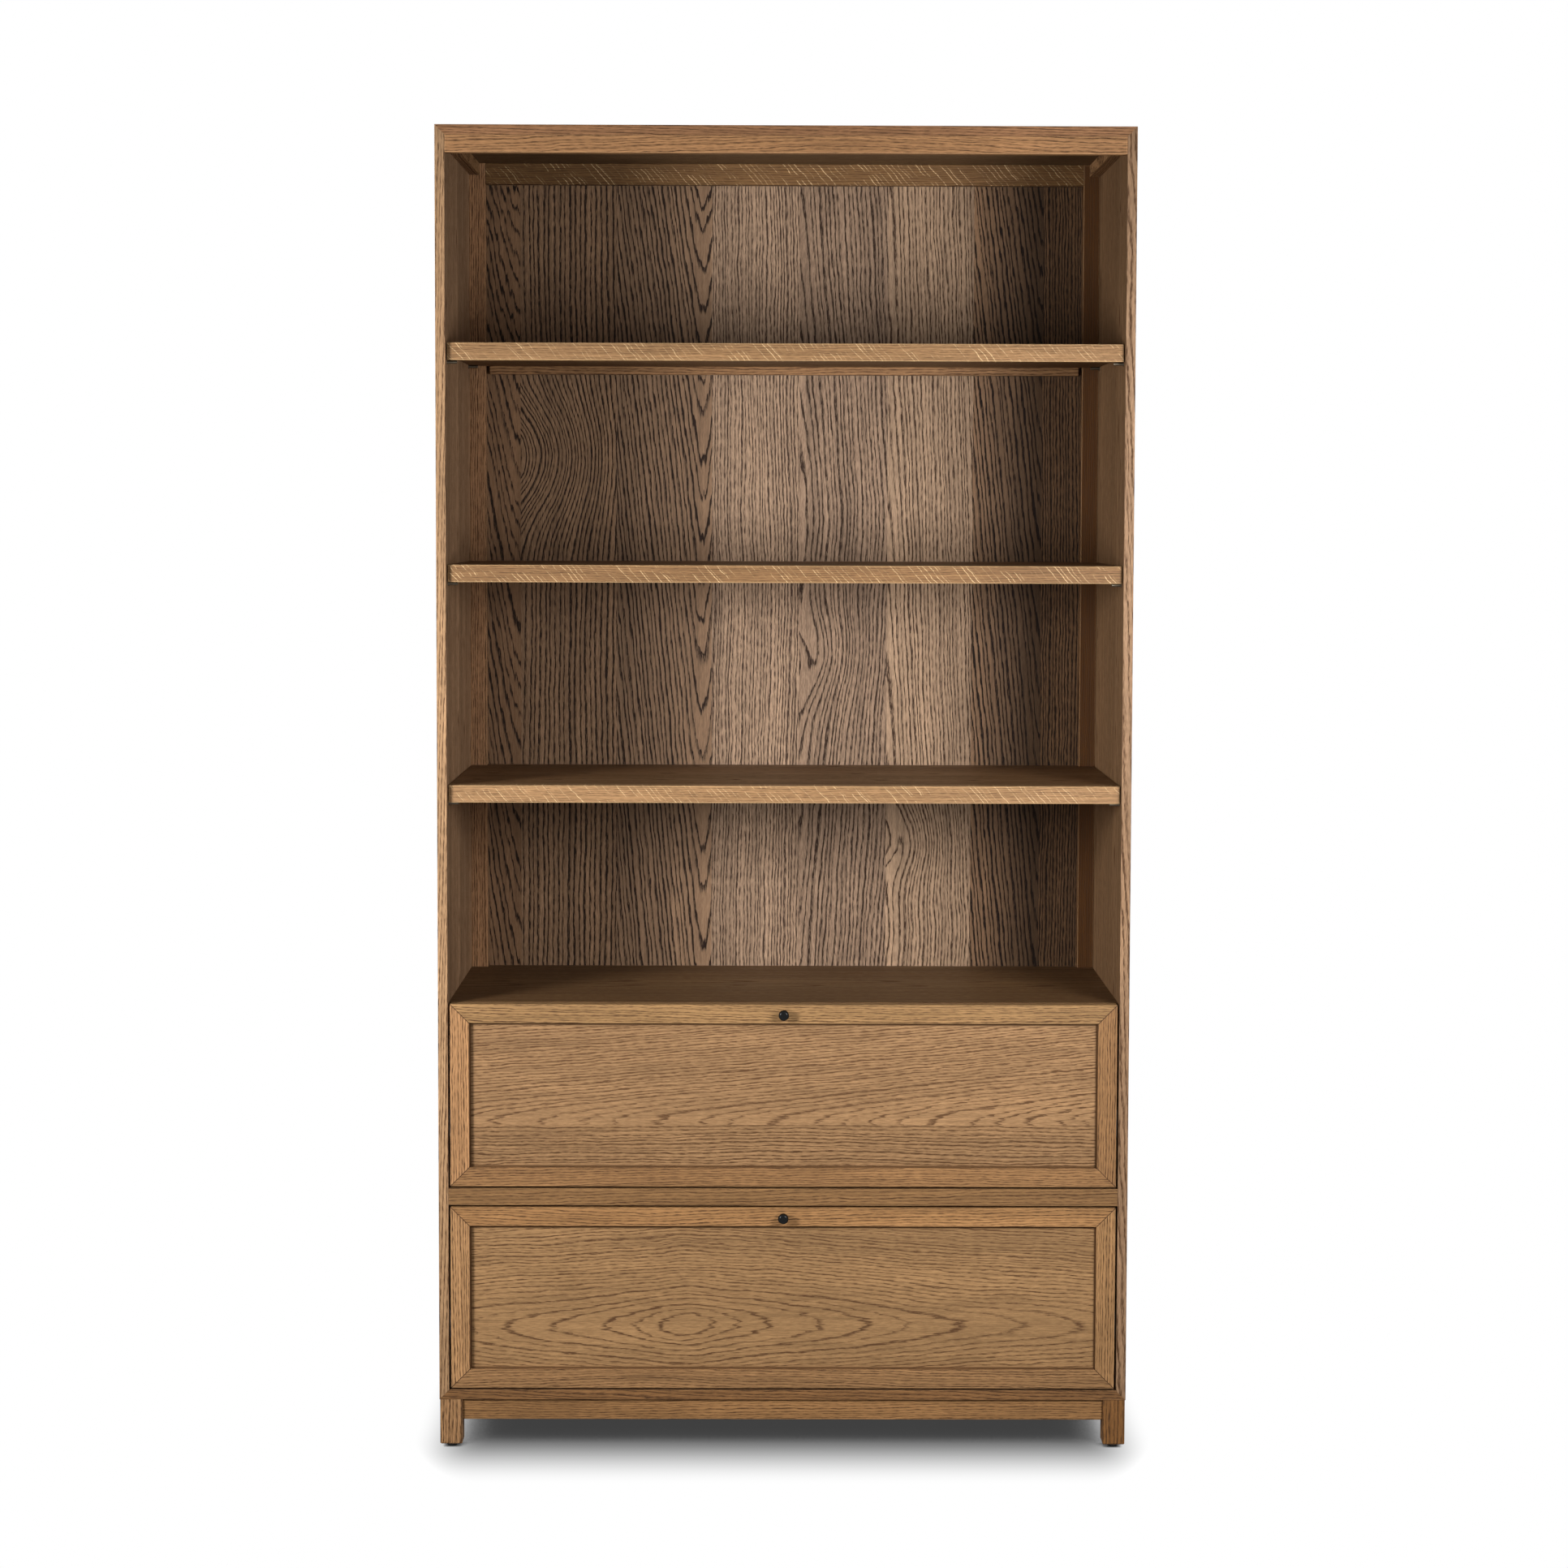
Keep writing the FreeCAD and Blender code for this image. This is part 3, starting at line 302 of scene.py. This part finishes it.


# The front legs' tones are partly painted light and shade: the left one is lighter and the right one darker,
# standing for the stronger light from the left.
leg_tones_and_light = {"front_left_leg": "#B78B60", "front_right_leg": "#906439",
             "back_left_leg": "#A8815A", "back_right_leg": "#A17A54"}
for number, (leg, tone) in enumerate(leg_tones_and_light.items()):
    sawn(leg, "ZXY", aside=46 - 9 * number, depth=38, ring=3.4, seed=3 + 7 * number, wander=3, tip=500,
         late=tone)


# Plinth rails: four solid oak rails between the legs, set back a little from the case, tenoned and glued.
# They are flat-sawn strips with the grain along their length and only a quiet, fine figure.
for rail, seed in [("front_plinth_rail", 41), ("back_plinth_rail", 46)]:
    sawn(rail, "XZY", aside=70, depth=46, ring=3.1, seed=seed, wander=6, tip=240, eye=-320, late="#A67B4F",
         strength=0.75)
sawn("side_plinth_rails", "YZX", aside=80, depth=52, ring=3.2, seed=57, wander=5, tip=260, late="#AC8458",
     strength=0.75)


# Glides: four round discs of moulded black nylon nailed under the legs to keep the wood off the floor.
# Moulded nylon is dull with a faint pebble from the mould.
def moulded_nylon(name, colour, grit):
    """Dull nylon with a pebble as large as the grit, in millimetres, and paler where it is scuffed."""
    material = empty_material(name)
    tree = material.node_tree
    place = add(tree, "TexCoord").outputs["Object"]
    scuff_size, scuffed = 9 * grit, 2.1
    pebble = add(tree, "TexNoise", {"Vector": place, "Scale": MM / grit, "Detail": 2, "Roughness": 0.5})
    scuff = add(tree, "TexNoise", {"Vector": place, "Scale": MM / scuff_size, "Detail": 3, "Roughness": 0.6})
    worn = add(tree, "MapRange", {"Value": scuff, "From Min": 0.35, "From Max": 0.7})
    tint = add(tree, "Mix", {"Factor": worn, "A": linear(colour), "B": linear(colour, scuffed)},
               data_type="RGBA")
    gloss = add(tree, "MapRange", {"Value": worn, "To Min": 0.46, "To Max": 0.62})
    relief = add(tree, "Bump", {"Strength": 0.3, "Distance": 0.0002, "Height": pebble})
    shader = add(tree, "BsdfPrincipled", {
        "Base Color": tint, "Roughness": gloss, "Normal": relief, "IOR": 1.53})
    add(tree, "OutputMaterial", {"Surface": shader})
    return material


dress("foot_glides", moulded_nylon("moulded_black_nylon", "#121212", grit=1.2))


# Case: two side panels, a top and a bottom of veneered board with solid oak edges, mitred at the corners.
# The veneer runs up the sides and along the top and bottom, in sheets about a hand and a half wide.
# The left side and its edge strip are given lighter tones and the right ones darker, partly the veneer's own
# tone and partly painted light on the left side and painted shade on the right.
for side, depth, seed, tone, strip in [("left_side_panel", 45, 11, "#CEA47E", "#B6906A"),
                                       ("right_side_panel", -45, 19, "#917050", "#A48263")]:
    sawn(side, "ZYX", aside=20, depth=depth, ring=4.6, seed=seed, leaf=152, tip=45, wander=9, late=tone,
         lipping=strip)
# The top is given a darker tone than the bottom, partly painted shade for its dim underside.
for board, seed, tone, strip in [("top_panel", 23, "#806446", "#9C714F"),
                                 ("bottom_panel", 27, "#9C7551", "#936A43")]:
    sawn(board, "XYZ", aside=10, depth=-60, ring=4.4, seed=seed, leaf=152, tip=60, wander=9, late=tone,
         lipping=strip)


# Front rails: one under the top and one between the drawers, solid oak flush with the case's front edge.
# They are doweled into the sides, with the grain along the rail.
# The top rail carries a painted highlight along its edges.
sawn("top_front_rail", "XZY", aside=-64, depth=30, ring=4.2, seed=61, eye=120, tip=70, wander=7,
     late="#B18359", strength=0.8, edge="#C89C70")
sawn("middle_front_rail", "XZY", aside=58, depth=40, ring=3.8, seed=67, eye=-700, tip=120, wander=7,
     late="#916D47", strength=0.8)


# Top cleats: two solid oak battens that run from front to back under the top, screwed up into it.
# They stiffen the top and give the sides a second glue face.
sawn("top_cleats", "YXZ", aside=60, depth=40, ring=4.0, seed=73, tip=150, wander=5, late="#A27A54")


# Back frame: two upright stiles in the rear corners and a rail under the top, of solid oak, that frame
# the veneered back. The rail is quarter-sawn, so pale rays fleck it.
# Painted shade: the right stile is given a much darker tone than the left one, standing for the shadow it lies
# in. Both stiles carry a painted highlight along their edges.
for stile, aside, seed, tone in [("left_back_stile", 90, 81, "#AD815C"),
                                 ("right_back_stile", -90, 85, "#5C3A1B")]:
    sawn(stile, "ZXY", aside=aside, depth=20, ring=3.6, seed=seed, wander=5, tip=400, late=tone,
         edge="#B8926A")
sawn("back_top_rail", "XZY", aside=120, depth=8, ring=3.8, seed=91, wander=5, tip=400, late="#765736",
     fleck=0.75, strength=0.7)


# Back panel: a thin board in the rebate behind the stiles, held with screws from the rear.
# Its rear face is a plain backing veneer of the same oak, laid upright in wide sheets.
sawn("back_panel", "ZXY", aside=10, depth=-50, ring=4.8, seed=97, leaf=178, tip=60, wander=10, late="#A5825F")


# Back veneer: eight upright oak sheets pressed on the face of the back panel, each from another part of
# the log, so dark and light sheets stand side by side, some arched and some straight; the sheets at the
# sides are darker still as painted shade.
def veneer(name, body, low, high, cuts, axis, thickness, sheets):
    """Lays one thin face of veneer, cut into sheets at the given places and facing the front."""
    bpy.ops.object.select_all(action="DESELECT")
    bpy.ops.mesh.primitive_plane_add(size=1)
    face = bpy.context.object
    face.name = name
    bpy.ops.object.mode_set(mode="EDIT")
    bpy.ops.mesh.select_all(action="SELECT")
    bpy.ops.transform.rotate(value=-math.pi / 2, orient_axis="X", center_override=(0, 0, 0))
    bpy.ops.transform.resize(value=(high[0] - low[0], 1, high[2] - low[2]))
    bpy.ops.transform.translate(value=((low[0] + high[0]) / 2, low[1], (low[2] + high[2]) / 2))
    normal = (1, 0, 0) if axis == 0 else (0, 0, 1)
    for cut in cuts:
        bpy.ops.mesh.select_all(action="SELECT")
        bpy.ops.mesh.bisect(plane_co=[cut * part for part in normal], plane_no=normal)
    bpy.ops.mesh.select_all(action="SELECT")
    bpy.ops.mesh.extrude_region_move(TRANSFORM_OT_translate={"value": (0, -thickness, 0)})
    bpy.ops.mesh.select_all(action="SELECT")
    bpy.ops.mesh.normals_make_consistent(inside=False)
    bpy.ops.object.mode_set(mode="OBJECT")
    for sheet in sheets:
        face.data.materials.append(sheet)
    for polygon in face.data.polygons:
        polygon.material_index = sum(1 for cut in cuts if polygon.center[axis] > cut)
    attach(face, body)
    return face


board_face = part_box("back_panel")[0][1]
veneer_thickness, tucked_in = 0.0005, 0.004
back_face = (board_face - veneer_thickness) * MM
back_cuts = [-0.457, -0.290, -0.125, 0.027, 0.180, 0.328, 0.448]
# Painted shade: the sheets nearest the sides, 1, 2, 7 and 8, are given darker late and early colours, partly
# their own tone and partly the shadow that the case sides cast on the back; sheet 7 also has a painted shadow
# across it.
back_sheets = [
    oak("back_sheet_1", "ZXY", pith=(-449, back_face + 30), ring=8.0, seed=5, eye=2200, tip=15, wander=7,
        line_width=2.5, strength=1.4, pore=0.16, late="#89694E", early="#1C110A"),
    oak("back_sheet_2", "ZXY", pith=(-620, back_face + 20), ring=9.0, seed=9, eye=1605, tip=900, wander=7,
        line_width=2.6, strength=1.5, pore=0.24, knot=(-462, 1618, 100, 92), late="#97775B", early="#20140D"),
    oak("back_sheet_3", "ZXY", pith=(-138, back_face + 12), ring=7.8, seed=13, eye=2200, tip=23, wander=6,
        line_width=2.6, strength=1.6, pore=0.14, late="#8C6F56", early="#20140D"),
    oak("back_sheet_4", "ZXY", pith=(-420, back_face + 10), ring=5.8, seed=17, eye=1400, tip=200, wander=10,
        line_width=2.4, strength=1.1, pore=0.36, late="#A3876E", early="#33231A"),
    oak("back_sheet_5", "ZXY", pith=(18, back_face + 30), ring=7.2, seed=21, eye=1540, tip=52, wander=9,
        line_width=2.6, strength=1.25, pore=0.3, knot=(28, 1275, 75, 36), late="#927862", early="#281A11"),
    oak("back_sheet_6", "ZXY", pith=(176, back_face + 26), ring=6.0, seed=25, eye=812, eye_length=30, tip=70,
        wander=8, line_width=2.4, strength=1.1, pore=0.3, knot=(182, 950, 60, 40), late="#A1856B",
        early="#301F14"),
    oak("back_sheet_7", "ZXY", pith=(455, back_face + 12), ring=7.8, seed=29, eye=2200, tip=24, wander=6,
        line_width=2.5, strength=1.7, pore=0.14, painted_shade_span=(328, 448, 0.3), late="#86674C", early="#160C07"),
    oak("back_sheet_8", "ZXY", pith=(230, back_face + 10), ring=5.4, seed=33, eye=1400, tip=300, wander=7,
        line_width=2.6, strength=1.5, pore=0.26, late="#6D5138", early="#180E08"),
]
veneer_low = (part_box("left_back_stile")[1][0] - tucked_in, board_face,
              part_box("drawer_case_top")[1][2] - tucked_in)
veneer_high = (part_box("right_back_stile")[0][0] + tucked_in, board_face,
               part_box("back_top_rail")[0][2] + tucked_in)
back_veneer = veneer("back_veneer", "carcass", veneer_low, veneer_high, back_cuts, axis=0,
                     thickness=veneer_thickness, sheets=back_sheets)


# Back screws: small zinc-plated steel screws that hold the back panel in its rebate.
# Zinc plate is a cool grey with a soft sheen and slight cloudiness from the bath.
def plated_steel(name, colour, roughness, cloud):
    """Plated steel with clouds of the given size, in millimetres, and fine marks from drawing."""
    material = empty_material(name)
    tree = material.node_tree
    place = add(tree, "TexCoord").outputs["Object"]
    mark_width, mark_length, cloudy = 1.2, 40, 0.72
    clouds = add(tree, "TexNoise", {"Vector": place, "Scale": MM / cloud, "Detail": 4, "Roughness": 0.6})
    stretched = add(tree, "Mapping", {
        "Vector": place, "Scale": (MM / mark_width, MM / mark_length, MM / mark_width)})
    drawn = add(tree, "TexNoise", {"Vector": stretched, "Scale": 1, "Detail": 2})
    uneven = add(tree, "MapRange", {"Value": clouds, "From Min": 0.3, "From Max": 0.7})
    tint = add(tree, "Mix", {"Factor": uneven, "A": linear(colour, cloudy), "B": linear(colour)},
               data_type="RGBA")
    gloss = add(tree, "MapRange", {"Value": drawn, "From Min": 0.3, "From Max": 0.7,
                                   "To Min": roughness - 0.08, "To Max": roughness + 0.1})
    relief = add(tree, "Bump", {"Strength": 0.15, "Distance": 0.0001, "Height": drawn})
    shader = add(tree, "BsdfPrincipled", {
        "Base Color": tint, "Metallic": 1.0, "Roughness": gloss, "Normal": relief})
    add(tree, "OutputMaterial", {"Surface": shader})
    return material


zinc = plated_steel("zinc_plated_steel", "#999CA0", roughness=0.38, cloud=14)
dress("back_panel_screws", zinc)


# Drawer case top: a veneered board between the sides that closes the drawer case and serves as the lowest
# shelf. The veneer runs from side to side and its front edge is hidden by the upper drawer.
# Its tone is darker than the fronts' oak, partly painted shade for the low light that grazes it.
sawn("drawer_case_top", "XYZ", aside=10, depth=-60, ring=4.4, seed=103, leaf=150, tip=60, wander=9,
     late="#785A3A")


# Shelf pins: twelve nickel-plated steel pins pushed into the sides, four under each shelf.
# The nickel has dulled to a warm grey, so the pins hardly show beside the wood.
dress("shelf_pins", plated_steel("nickel_plated_steel", "#6E6557", roughness=0.42, cloud=6))


# Shelves: three loose veneered boards, notched round the back stiles, with a taller solid oak strip glued
# along the front and a stiffening strip under the rear edge. The front strips are quarter-sawn and flecked.
# The boards are given a darker tone than their strips, partly painted shade for the low light that grazes
# their tops, and the front strips carry a painted highlight along their edges.
for level, seed, tone in [("lower", 111, "#A9835C"), ("middle", 120, "#916E4B"), ("upper", 129, "#A17C56")]:
    sawn(level + "_shelf_board", "XYZ", aside=10, depth=-60, ring=4.4, seed=seed, leaf=146, tip=60, wander=9,
         late="#916D49")
    sawn(level + "_shelf_front_strip", "XZY", aside=130, depth=6, ring=3.6, seed=seed + 3, tip=420, wander=4,
         late=tone, strength=0.6, fleck=0.85, edge="#DDB886")
    sawn(level + "_shelf_rear_strip", "XZY", aside=60, depth=40, ring=4.0, seed=seed + 6, tip=150, wander=5,
         late="#9E7651")


# Slides: a pair of telescopic steel slides carries each drawer, one member screwed to the case, one to the
# drawer, and a middle one between them. They are rolled from zinc-plated strip, and the screws that hold
# the drawer fronts have the same plating.
dress("slide_case_members", zinc)
for drawer in ["upper", "lower"]:
    dress(drawer + "_slide_middle_members", zinc)
    dress(drawer + "_slide_drawer_members", zinc)
    dress(drawer + "_drawer_screws", zinc)


# Drawer boxes: sides, front and back of pale solid wood glued at the corners, with a thin plywood bottom
# in a groove. The wood is only sealed, so it stays much lighter than the stained oak.
box_grains = {"left_side": "YZX", "right_side": "YZX", "front": "XZY", "back": "XZY", "bottom": "XYZ"}
for drawer, first_seed in [("upper", 151), ("lower", 191)]:
    for number, (wall, grain) in enumerate(box_grains.items()):
        sawn(drawer + "_box_" + wall, grain, aside=70 - 30 * number, depth=55, ring=6.5,
             seed=first_seed + 6 * number, eye=90, tip=90, wander=14, late="#D9BE93", early="#B08C5E",
             strength=0.6)


# Drawer fronts: each is a mitred frame of solid oak round a recessed veneered panel. The frame's grain runs
# along each member, and a fine dark line shows at the mitres where the members meet.
# The left stiles are given lighter tones than the right ones, partly painted light and shade standing for the
# stronger light from the left.
front_tones_and_light = {
    "upper": {"top_rail": "#AB8559", "bottom_rail": "#A27950",
              "left_stile": "#C09063", "right_stile": "#98714B"},
    "lower": {"top_rail": "#B48657", "bottom_rail": "#AA8157",
              "left_stile": "#CA9A6A", "right_stile": "#BD9061"},
}
for drawer, first_seed, rail_eye in [("upper", 201, 260), ("lower", 231, -200)]:
    front_low, front_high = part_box(drawer + "_front_bottom_rail")[0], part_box(drawer + "_front_top_rail")[1]
    corners = (front_high[0], (front_low[2] + front_high[2]) / 2, (front_high[2] - front_low[2]) / 2)
    for rail, aside, seed in [("top_rail", 64, first_seed), ("bottom_rail", -70, first_seed + 11)]:
        sawn(drawer + "_front_" + rail, "XZY", aside=aside, depth=36, ring=3.6, seed=seed, eye=rail_eye,
             tip=110, wander=6, strength=0.8, late=front_tones_and_light[drawer][rail], mitre=corners)
    for stile, aside, seed in [("left_stile", 60, first_seed + 5), ("right_stile", -66, first_seed + 16)]:
        sawn(drawer + "_front_" + stile, "ZXY", aside=aside, depth=40, ring=3.2, seed=seed, eye=1200, tip=240,
             wander=4, strength=0.8, late=front_tones_and_light[drawer][stile], mitre=corners)
    sawn(drawer + "_front_panel", "XZY", aside=10, depth=40, ring=4.8, seed=first_seed + 8, tip=60, wander=9,
         late="#A5805A")


# Drawer veneers: the visible faces of the two panels. The upper one is laid from two sheets with an arched
# figure above the seam and straight lines below it; the lower one shows a closed eye left of the middle.
board_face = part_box("upper_front_panel")[0][1]
panel_face = (board_face - veneer_thickness) * MM
upper_seam = 0.531
# These openings also place the painted recess shade round each drawer panel.
openings = {
    drawer: (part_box(drawer + "_front_right_stile")[0][0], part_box(drawer + "_front_bottom_rail")[1][2],
             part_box(drawer + "_front_top_rail")[0][2])
    for drawer in ["upper", "lower"]
}
upper_sheets = [
    oak("upper_drawer_lower_sheet", "XZY", pith=(240, panel_face + 12), ring=5.6, seed=221, tip=420, wander=8,
        strength=1.05, recess_shade_opening=openings["upper"], late="#A5805A", early="#513822"),
    oak("upper_drawer_upper_sheet", "XZY", pith=(537, panel_face + 35), ring=4.6, seed=227, eye=600, tip=18,
        wander=6, line_width=1.8, recess_shade_opening=openings["upper"], late="#A7825C", early="#5A3F28"),
]
lower_sheets = [
    oak("lower_drawer_sheet", "XZY", pith=(204, panel_face + 55), ring=4.8, seed=233, eye=-134, eye_length=20,
        tip=34, wander=13, line_width=1.7, strength=0.9, recess_shade_opening=openings["lower"], late="#AC865C",
        early="#573C26"),
]
for drawer, cuts, sheets in [("upper", [upper_seam], upper_sheets), ("lower", [], lower_sheets)]:
    half_width, low, high = openings[drawer]
    face = veneer(drawer + "_drawer_veneer", drawer + "_drawer", (-half_width, board_face, low),
                  (half_width, board_face, high), cuts, axis=2, thickness=veneer_thickness, sheets=sheets)


# Knobs: one small domed round knob on each drawer's top rail, turned from steel and painted black.
# The paint is smooth and glossy, with a faint ripple from spraying.
def black_paint(name):
    """Glossy black paint, a little smeared by hands."""
    material = empty_material(name)
    tree = material.node_tree
    place = add(tree, "TexCoord").outputs["Object"]
    ripple_size, smear_size = 1.5, 7
    ripple = add(tree, "TexNoise", {"Vector": place, "Scale": MM / ripple_size, "Detail": 2})
    smear = add(tree, "TexNoise", {"Vector": place, "Scale": MM / smear_size, "Detail": 3})
    gloss = add(tree, "MapRange", {
        "Value": smear, "From Min": 0.3, "From Max": 0.7, "To Min": 0.12, "To Max": 0.2})
    tint = add(tree, "Mix", {"Factor": smear, "A": linear("#060606"), "B": linear("#0D0D0D")},
               data_type="RGBA")
    relief = add(tree, "Bump", {"Strength": 0.12, "Distance": 0.0001, "Height": ripple})
    shader = add(tree, "BsdfPrincipled", {
        "Base Color": tint, "Roughness": gloss, "Normal": relief, "IOR": 1.5, "Specular IOR Level": 0.15})
    add(tree, "OutputMaterial", {"Surface": shader})
    return material


black = black_paint("black_painted_steel")
dress("upper_knob", black)
dress("lower_knob", black)


# Floor: a plain white studio floor that runs out of the picture. For the lamps it is matte grey. The camera
# sees it pure white away from the bookcase, as a lit studio sweep looks, with a soft shadow that is drawn
# under the bookcase and deepens by occlusion near the legs.
bpy.ops.object.select_all(action="DESELECT")
bpy.ops.mesh.primitive_plane_add(size=30)
floor = bpy.context.object
floor.name = "studio_floor"
sweep = empty_material("white_studio_sweep")
tree = sweep.node_tree
path = add(tree, "LightPath")
near_legs = add(tree, "AmbientOcclusion", {"Distance": 0.3}, samples=16).outputs["AO"]
under = add(tree, "MapRange", {
    "Value": near_legs, "From Min": 0.1, "From Max": 0.55, "To Min": 0.05, "To Max": 1.0
}, interpolation_type="SMOOTHSTEP")
place = add(tree, "SeparateXYZ", {"Vector": add(tree, "TexCoord").outputs["Object"]})
fades = {}
for axis, start, end, power in [("X", 0.43, 0.61, 2), ("Y", 0.095, 0.42, 1.25)]:
    outward = add(tree, "Math", {0: place.outputs[axis]}, operation="ABSOLUTE")
    fade = add(tree, "MapRange", {"Value": outward, "From Min": start, "From Max": end},
               interpolation_type="SMOOTHSTEP")
    fades[axis] = add(tree, "Math", {0: fade, 1: power}, operation="POWER")
beyond = add(tree, "VectorMath", {0: add(tree, "CombineXYZ", fades)}, operation="LENGTH").outputs["Value"]
soft = add(tree, "MapRange", {"Value": beyond, "To Min": 0.055, "To Max": 1.0})
open_floor = add(tree, "Math", {0: soft, 1: under}, operation="MINIMUM")
glow = add(tree, "Emission", {"Color": open_floor, "Strength": 1.0})
matte = add(tree, "BsdfDiffuse", {"Color": linear("#9A9895")})
seen = add(tree, "Math", {0: path.outputs["Is Camera Ray"], 1: path.outputs["Is Glossy Ray"]},
           operation="MAXIMUM")
add(tree, "OutputMaterial", {"Surface": add(tree, "MixShader", {0: seen, 1: matte, 2: glow})})
floor.data.materials.append(sweep)


# Studio light: two stands in front, left and right of the camera, each with one soft box turned up and one
# turned down, two boxes behind and one overhead. The sides of the case shade the back's edges from the
# front boxes, so the back is lit in its middle.
def soft_box(name, place, aim, width, height, spread, watts):
    """Hangs one soft box at a place and turns it to its aim; the spread is in degrees."""
    lamp = bpy.data.lights.new(name, "AREA")
    lamp.shape = "RECTANGLE"
    lamp.size, lamp.size_y = width, height
    lamp.spread = math.radians(spread)
    lamp.energy = watts
    holder = bpy.data.objects.new(name, lamp)
    bpy.context.scene.collection.objects.link(holder)
    holder.location = place
    direction = [aim[axis] - place[axis] for axis in range(3)]
    flat = math.hypot(direction[0], direction[1])
    holder.rotation_euler = (math.atan2(flat, -direction[2]), 0, math.atan2(-direction[0], direction[1]))


for side, stand, aim_aside, upper_watts, lower_watts in [
    ("left", (-2.1, -2.04, 1.43), -0.5, 11.4, 10.9),
    ("right", (1.36, -2.04, 1.43), 0.45, 7.6, 6.8),
]:
    for turn, aim_height, watts in [("upper", 1.7, upper_watts), ("lower", 0.45, lower_watts)]:
        soft_box(side + "_" + turn + "_soft_box", stand, (aim_aside, -0.2, aim_height),
                 width=0.75, height=0.84, spread=64, watts=watts)
for side, stand in [("left", (-2.6, 2.6, 2.0)), ("right", (2.6, 2.6, 2.0))]:
    soft_box(side + "_rear_soft_box", stand, (0, 0, 1.0), width=1.4, height=1.8, spread=180, watts=70)
soft_box("overhead_soft_box", (0, 0.9, 4.4), (0, 0.2, 2.1), width=2.4, height=1.2, spread=180, watts=50)


# Studio surround: plain white for the camera and in reflections, so metal shows the bright studio too.
# Otherwise it is dim, because the soft boxes give the light.
world = bpy.data.worlds.new("white_studio")
bpy.context.scene.world = world
world.use_nodes = True
tree = world.node_tree
tree.nodes.clear()
path = add(tree, "LightPath")
seen = add(tree, "Math", {0: path.outputs["Is Camera Ray"], 1: path.outputs["Is Glossy Ray"]},
           operation="MAXIMUM")
seen = add(tree, "Math", {0: seen, 1: path.outputs["Is Transmission Ray"]}, operation="MAXIMUM")
dim = add(tree, "Background", {"Color": linear("#FFFFFF"), "Strength": 0.04})
white = add(tree, "Background", {"Color": linear("#FFFFFF"), "Strength": 1.0})
add(tree, "OutputWorld", {"Surface": add(tree, "MixShader", {0: seen, 1: dim, 2: white})})


# Camera: at chest height straight in front, a little left of the middle and tilted slightly down, with a
# short telephoto lens, as the picture was taken.
lens = bpy.data.cameras.new("studio_camera")
lens.lens = 74.42
lens.sensor_width = 36
lens.shift_y = -0.0398
camera = bpy.data.objects.new("studio_camera", lens)
bpy.context.scene.collection.objects.link(camera)
camera.location = (-0.0281, -5.418, 1.526)
camera.rotation_euler = [math.radians(angle) for angle in (86.277, -0.1607, -0.2885)]
bpy.context.scene.camera = camera
bpy.context.scene.view_settings.view_transform = "Standard"
